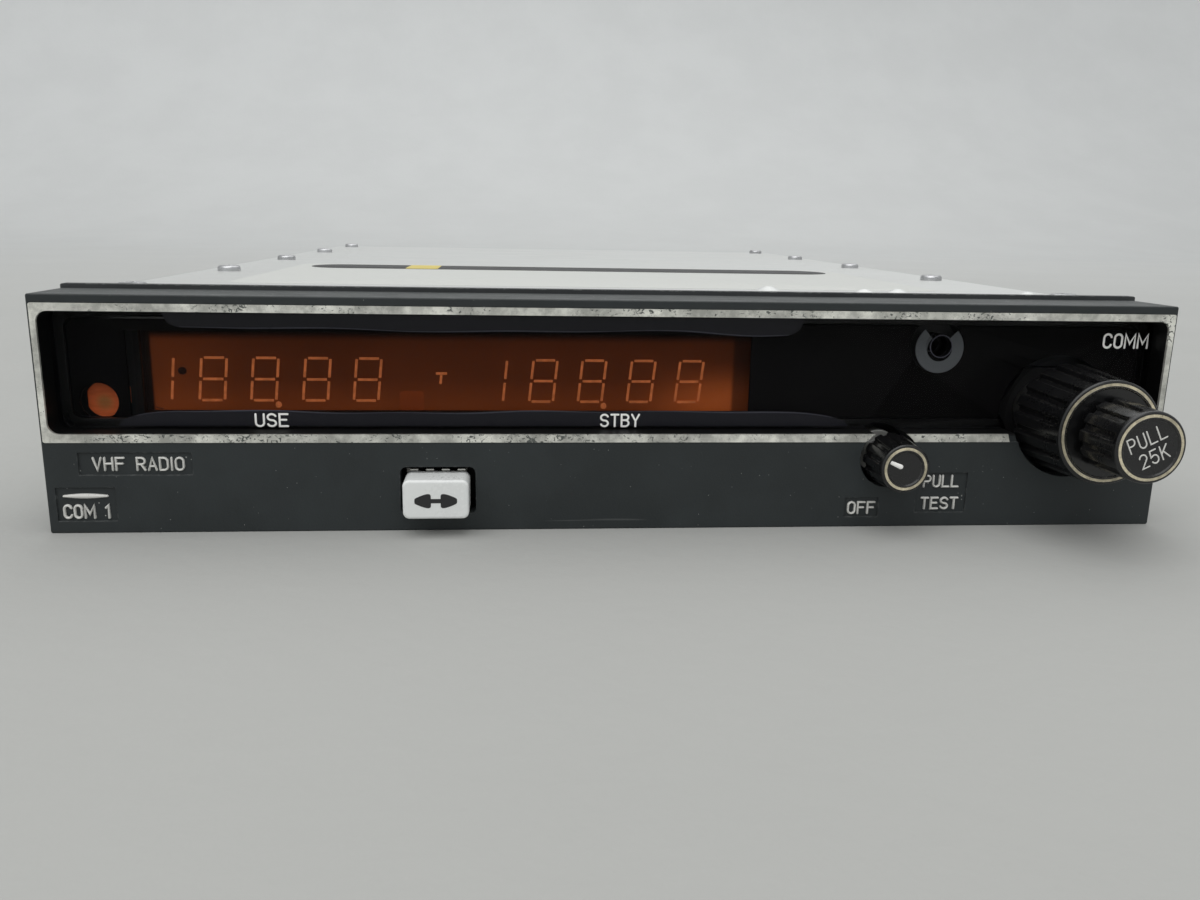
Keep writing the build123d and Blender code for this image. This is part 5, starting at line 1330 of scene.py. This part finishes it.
@dataclass
class RibbedKnob:
    """Moulded knob whose side is cut by round-ended grooves, with a metal ring near the edge of its face.

    The surface is turned about the knob's axis: at each place along the profile the radius is the profile's
    own, less a groove that is a smooth step of the angle inside each pitch times a smooth step along the
    side.
    """

    node: str
    body: Body
    ribs: int
    groove_depth: float
    groove_share: float
    bore: float
    face_dish: float = 0.12
    ring_outer: float = 0.0
    around: int = 16
    rear_round: float = 0.5

    def extent(self) -> Tuple[float, float, float, float, float]:
        """Axis across, axis up, front, rear and largest radius, read from the CAD node."""
        x = (node_low(self.node, 0) + node_high(self.node, 0)) / 2
        z = (node_low(self.node, 2) + node_high(self.node, 2)) / 2
        radius = (node_high(self.node, 0) - node_low(self.node, 0)) / 2
        return x, z, node_low(self.node, 1), node_high(self.node, 1), radius

    def profile(self, front: float, rear: float, radius: float, face_radius: float) -> np.ndarray:
        """Closed profile of (along, radius) points from the bore's front round to its rear.

        Args:
            front: Place of the face along the axis.
            rear: Place of the back.
            radius: Radius at the back.
            face_radius: Radius at the face.

        Returns:
            Profile points, one row each.
        """
        lip = 0.32
        ring = self.ring_outer
        face = [(front + self.face_dish, r) for r in np.linspace(self.bore, ring - 0.75, 8)]
        face += [(front + self.face_dish * (1 - k), ring - 0.75 + 0.1 * k) for k in (0.3, 0.7)]
        face += [(front - 0.07, ring - 0.6), (front - 0.09, ring - 0.46), (front - 0.06, ring - 0.4),
                 (front + 0.05, ring - 0.38)]
        edge = np.array([(front + lip - lip * math.cos(a),
                          face_radius - lip + lip * math.sin(a)) for a in np.radians(np.linspace(0, 90, 7))])
        side = np.stack([np.linspace(front + lip + 0.1, rear - self.rear_round - 0.05, 40),
                         np.linspace(face_radius, radius, 40)], axis=-1)
        back = np.array([(rear - self.rear_round + self.rear_round * math.sin(a),
                          radius - self.rear_round + self.rear_round * math.cos(a))
                         for a in np.radians(np.linspace(0, 90, 7))])
        end = np.array([(rear, max(self.bore, 0.0))])
        return np.vstack([np.array(face), edge, side, back, end])

    def build(self) -> None:
        """Make the knob's surface in place of the CAD node."""
        x, z, front, rear, radius = self.extent()
        face_radius = self.ring_outer + 0.38
        line = self.profile(front, rear, radius, face_radius)
        along, base = line[:, 0], line[:, 1]
        count = self.ribs * self.around
        angle = np.linspace(0, 2 * np.pi, count, endpoint=False)
        phase = np.abs(((angle * self.ribs / (2 * np.pi)) % 1.0) - 0.5) * 2
        wall = np.clip((phase - self.groove_share + 0.16) / 0.16, 0.0, 1.0)
        groove = 1.0 - wall * wall * (3 - 2 * wall)
        start, stop = front + 0.75, rear + 0.2
        rise = np.clip((along - start) / 0.7, 0.0, 1.0) * np.clip((stop - along) / 0.25, 0.0, 1.0)
        on_side = rise * rise * (3 - 2 * rise) * (base > face_radius - 0.4)
        turned = base[:, None] - self.groove_depth * on_side[:, None] * groove[None]
        points = np.stack([x + turned * np.cos(angle), np.broadcast_to(along[:, None], turned.shape),
                           z + turned * np.sin(angle)], axis=-1)
        faces = grid_faces(len(line), count, wrap_rows=self.bore > 0)
        piece = finish_piece(self.node + "_moulding", (points.reshape(-1, 3), faces), Look.KNOB, self.body,
                             40.0)
        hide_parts(self.node)


@dataclass
class Controls:
    """The three knobs, their rings, pointers and face legends, and the controls behind the panel."""

    volume: RibbedKnob = field(default_factory=lambda: RibbedKnob(
        "volume_knob", Body.VOLUME, ribs=12, groove_depth=0.35, groove_share=0.46, bore=0.0, ring_outer=3.08))
    outer: RibbedKnob = field(default_factory=lambda: RibbedKnob(
        "outer_knob", Body.OUTER, ribs=18, groove_depth=0.65, groove_share=0.44, bore=3.2, ring_outer=6.95))
    inner: RibbedKnob = field(default_factory=lambda: RibbedKnob(
        "inner_knob", Body.INNER, ribs=12, groove_depth=0.5, groove_share=0.44, bore=0.0, ring_outer=4.43))
    pointer_angle: float = 157.0
    legend_turn: float = 27.0

    def build(self) -> None:
        """Build the knobs and dress what belongs to them."""
        for knob in (self.volume, self.outer, self.inner):
            knob.build()
        DRESSER.dress_nodes(Look.KNOB_RING, "volume_knob_ring", "outer_knob_ring", "inner_knob_ring")
        DRESSER.dress_nodes(Look.STEEL, "volume_shaft", "outer_shaft", "inner_shaft", "outer_setscrew",
                            "inner_setscrew")
        DRESSER.dress_nodes(Look.NYLON, "volume_pull_collar", "tuning_pull_collar")
        DRESSER.dress_nodes(Look.CONTROL, "volume_control", "tuning_encoder")
        # Painted shade: the nuts under the knobs are dressed near-black.
        DRESSER.dress_nodes(Look.BLACK_NUT, "volume_nut", "tuning_nut")
        self.build_pointer()
        self.build_face_legend()

    def build_pointer(self) -> None:
        """White line on the volume knob, from its ring towards the middle."""
        x, z, front, _, _ = self.volume.extent()
        plane = Plane((x, front + self.volume.face_dish, z)).turned(self.pointer_angle)
        line = np.stack([np.linspace(2.75, 0.75, 12), np.zeros(12)], axis=-1)
        points, faces = bead(line, np.linspace(0.24, 0.34, 12), 0.14)
        finish_piece("volume_pointer", (plane.at(points), faces), Look.WHITE_PRINT, Body.VOLUME)

    def build_face_legend(self) -> None:
        """Two short lines of words on the inner knob's face."""
        x, z, front, _, _ = self.inner.extent()
        plane = Plane((x, front + self.inner.face_dish, z)).turned(self.legend_turn)
        words = Legend("PULL", (-2.7, 2.6, 0.3, 2.4), 0.2, 0.07, 0.3)
        channel = Legend("25K", (-1.95, 2.1, -2.35, -0.3), 0.2, 0.07, 0.3)
        shape = join([words.shape(plane), channel.shape(plane)])
        finish_piece("knob_face_legend", shape, Look.WHITE_PAINT, Body.INNER)


@dataclass
class Chassis:
    """Sheet-metal case with its covers, screws, label and the parts at its rear."""

    film_box: Box2 = (-64.0, 60.0, 36.0, 106.0)
    label_box: Box2 = (-60.6, 56.3, 87.0, 102.5)
    yellow_box: Box2 = (-39.5, -32.5, 87.3, 102.2)
    bumps: Tuple[Tuple[float, float], ...] = ((27.7, 33.9), (43.1, 29.4), (49.4, 30.5), (70.8, 27.1))

    def build(self) -> None:
        """Dress the case and add the label and the pressed bumps of the top cover."""
        DRESSER.dress_nodes(Look.ALUMINIUM, "top_cover", "bottom_cover", "rear_panel", "left_rail",
                            "right_rail")
        DRESSER.dress_nodes(Look.STEEL, "rail_screws", "top_cover_screws", "bottom_cover_screws", "rear_screws")
        DRESSER.dress_nodes(Look.HEAT_SINK, "heat_sink")
        DRESSER.dress_nodes(Look.TINNED, "antenna_jack", "shield_cans")
        DRESSER.dress_nodes(Look.NYLON, "antenna_insulator", "board_standoffs")
        DRESSER.dress_nodes(Look.GOLD, "antenna_contact", "rear_contacts")
        DRESSER.dress_nodes(Look.BLACK_MOULDING, "rear_connector", "integrated_circuits", "output_transistors")
        DRESSER.dress_nodes(Look.CIRCUIT_BOARD, "main_board")
        DRESSER.dress_nodes(Look.CAPACITOR, "filter_capacitors")
        DRESSER.dress_nodes(Look.JACK_HEAD, "jack_screw")
        DRESSER.dress_nodes(Look.BRASS, "lock_nut")
        DRESSER.dress_nodes(Look.STEEL, "lock_pawl", "pawl_pin")
        DRESSER.dress_nodes(Look.BRACKET, "lock_bracket")
        self.build_label()
        self.build_bumps()

    def cover_plane(self) -> Plane:
        """The top cover's upper face, measured from the bezel's front."""
        return Plane((0.0, node_low("bezel", 1), node_high("top_cover", 2)), (1.0, 0.0, 0.0), (0.0, 1.0, 0.0),
                     (0.0, 0.0, 1.0))

    def build_label(self) -> None:
        """Plain data label: film, a dark band with rounded corners at its rear and one yellow field in it."""
        plane = self.cover_plane()
        points, faces = slab(rounded_box(self.film_box, 4.0, 10), 0.05)
        finish_piece("label_film", (plane.at(points), faces), Look.LABEL_FILM, Body.RADIO)
        points, faces = slab(rounded_box(self.label_box, 7.0, 12), 0.1)
        finish_piece("label_band", (plane.at(points), faces), Look.BLACK_PRINT, Body.RADIO)
        points, faces = slab(rounded_box(self.yellow_box, 0.8), 0.14)
        finish_piece("label_field", (plane.at(points), faces), Look.YELLOW_PRINT, Body.RADIO)

    def build_bumps(self) -> None:
        """Low pressed bumps near the cover's front: height falls with the cosine squared of the distance."""
        plane = self.cover_plane()
        turn = np.linspace(0, 2 * np.pi, 32, endpoint=False)
        share = np.concatenate([np.linspace(0.0, 1.0, 9), [1.0, 0.0]])
        domes = []
        for x, y in self.bumps:
            reach = 2.9 * share[:, None]
            flat = np.stack([x + reach * np.cos(turn), y + reach * 0.9 * np.sin(turn)], axis=-1)
            high = 0.85 * np.cos(share * np.pi / 2) ** 2
            high[-2:] = -0.1
            out = np.broadcast_to(high[:, None, None], flat.shape[:2] + (1,))
            domes.append((np.concatenate([flat, out], axis=-1).reshape(-1, 3),
                          grid_faces(len(share), len(turn))))
        points, faces = join(domes)
        finish_piece("cover_bumps", (plane.at(points), faces), Look.ALUMINIUM, Body.RADIO, 60.0)


# --- studio ---

@dataclass
class Studio:
    """Pale floor that rises into a backdrop, soft lamps, surrounding light and the camera."""

    floor_color: Rgb = (0.385, 0.39, 0.375)
    painted_light_wall_color: Rgb = (0.8, 0.82, 0.82)
    sky_color: Rgb = (0.58, 0.6, 0.6)
    surround: float = 0.68
    camera_at: Rgb = (-0.0163, -0.252775, 0.0436)
    pan: float = 5.17
    tilt: float = 13.09
    roll: float = 1.08
    lens: float = 29.97

    def build(self) -> None:
        """Build floor, light and camera."""
        self.build_floor()
        self.build_world()
        self.lamp("key_lamp", place=(-0.25, -0.55, 1.05), aim=(0.0, -0.02, 0.0), size=1.3, power=7.5)
        self.lamp("top_lamp", place=(0.3, 0.5, 1.2), aim=(0.0, 0.05, 0.0), size=1.4, power=5.5)
        self.build_camera()

    def build_floor(self) -> None:
        """Floor and backdrop as one sheet: flat, then a quarter circle, then straight up."""
        radius, reach, front = 0.9, 1.1, -9.0
        arc_angle = np.radians(np.linspace(0, 90, 24))
        run = np.concatenate([np.linspace(front, reach, 12), reach + radius * np.sin(arc_angle[1:]),
                              np.full(4, reach + radius)])
        rise = np.concatenate([np.zeros(12), radius - radius * np.cos(arc_angle[1:]),
                               np.linspace(radius + 0.3, 3.0, 4)])
        across = np.linspace(-12.0, 12.0, 9)
        points = np.stack([np.broadcast_to(across[None], (len(run), 9)),
                           np.broadcast_to(run[:, None], (len(run), 9)),
                           np.broadcast_to(rise[:, None], (len(run), 9))], axis=-1).reshape(-1, 3)
        mesh = bpy.data.meshes.new("backdrop")
        mesh.from_pydata(points.tolist(), [], grid_faces(len(run), 9, wrap_columns=False).tolist())
        mesh.shade_smooth()
        floor = bpy.data.objects.new("backdrop", mesh)
        bpy.context.scene.collection.objects.link(floor)
        material = bpy.data.materials.new("backdrop_paper")
        material.use_nodes = True
        sheet = NodeSheet(material.node_tree)
        sheet.tree.nodes.clear()
        shader = sheet.node("BsdfPrincipled", Roughness=0.9)
        tone = sheet.span(sheet.noise(9.0, 4.0, 0.6), 0.3, 0.7)
        # Painted light: the backdrop's colour grows lighter from the floor up the wall, making up for the
        # wall's lesser light.
        depth = sheet.span(sheet.axis("Y"), -0.3, 2.2)
        paper = sheet.blend(depth, self.floor_color, self.painted_light_wall_color)
        sheet.put(shader.inputs["Base Color"], sheet.blend(sheet.sum("MULTIPLY", tone, 0.05), paper,
                                                           (0.2, 0.2, 0.2)))
        sheet.put(shader.inputs["Normal"], sheet.bump(sheet.noise(260.0, 3.0, 0.5), 0.0004, 0.35))
        end = sheet.node("OutputMaterial")
        sheet.put(end.inputs["Surface"], shader.outputs[0])
        floor.data.materials.append(material)

    def build_world(self) -> None:
        """Even light for surfaces, and the backdrop's own grey for what the camera and reflections see."""
        world = bpy.data.worlds.new("studio_world")
        world.use_nodes = True
        sheet = NodeSheet(world.node_tree)
        sheet.tree.nodes.clear()
        rays = sheet.node("LightPath")
        seen = sheet.sum("MAXIMUM", rays.outputs["Is Camera Ray"],
                         sheet.sum("MAXIMUM", rays.outputs["Is Glossy Ray"],
                                   rays.outputs["Is Transmission Ray"]))
        even = sheet.node("Background", Color=(1.0, 1.0, 1.0), Strength=self.surround)
        drop = sheet.node("Background", Color=self.sky_color, Strength=1.0)
        mix = sheet.node("MixShader")
        sheet.put(mix.inputs[0], seen)
        sheet.put(mix.inputs[1], even.outputs[0])
        sheet.put(mix.inputs[2], drop.outputs[0])
        end = sheet.node("OutputWorld")
        sheet.put(end.inputs["Surface"], mix.outputs[0])
        bpy.context.scene.world = world

    def lamp(self, name: str, place: Rgb, aim: Rgb, size: float, power: float) -> None:
        """A square soft lamp.

        Args:
            name: Name of the lamp.
            place: Where it hangs, in metres.
            aim: What it points at.
            size: Length of its side.
            power: Watts.
        """
        data = bpy.data.lights.new(name, "AREA")
        data.shape = "SQUARE"
        data.size = size
        data.energy = power
        made = bpy.data.objects.new(name, data)
        direction = np.array(aim) - np.array(place)
        back = -direction / np.linalg.norm(direction)
        side = np.cross((0.0, 1.0, 0.0), back)
        side /= np.linalg.norm(side)
        up = np.cross(back, side)
        made.matrix_world = Matrix([[side[i], up[i], back[i], place[i]] for i in range(3)] + [[0, 0, 0, 1]])
        bpy.context.scene.collection.objects.link(made)

    def build_camera(self) -> None:
        """Camera in front of the panel, a little above it and to its left, looking down and rolled slightly."""
        pan, tilt, roll = (math.radians(a) for a in (self.pan, self.tilt, self.roll))
        look = np.array([math.sin(pan) * math.cos(tilt), math.cos(pan) * math.cos(tilt), -math.sin(tilt)])
        level = np.array([math.cos(pan), -math.sin(pan), 0.0])
        over = np.cross(level, look)
        right = math.cos(roll) * level + math.sin(roll) * over
        up = -math.sin(roll) * level + math.cos(roll) * over
        data = bpy.data.cameras.new("studio_camera")
        data.lens = self.lens
        data.sensor_width = 36.0
        data.clip_start = 0.01
        made = bpy.data.objects.new("studio_camera", data)
        rows = [[right[i], up[i], -look[i], self.camera_at[i]] for i in range(3)]
        made.matrix_world = Matrix(rows + [[0, 0, 0, 1]])
        bpy.context.scene.collection.objects.link(made)
        bpy.context.scene.camera = made
        bpy.context.scene.view_settings.view_transform = "Standard"


def main() -> None:
    """Build the object's sub-assemblies in order, then the studio."""
    logging.basicConfig(level=logging.INFO, format="%(name)s: %(message)s")
    GROUPS.build()
    for part in (FrontPanel(), Window(), Display(), TransferKey(), Controls(), Chassis(), Studio()):
        log.info("building %s", type(part).__name__)
        part.build()


if __name__ == "__main__":
    main()
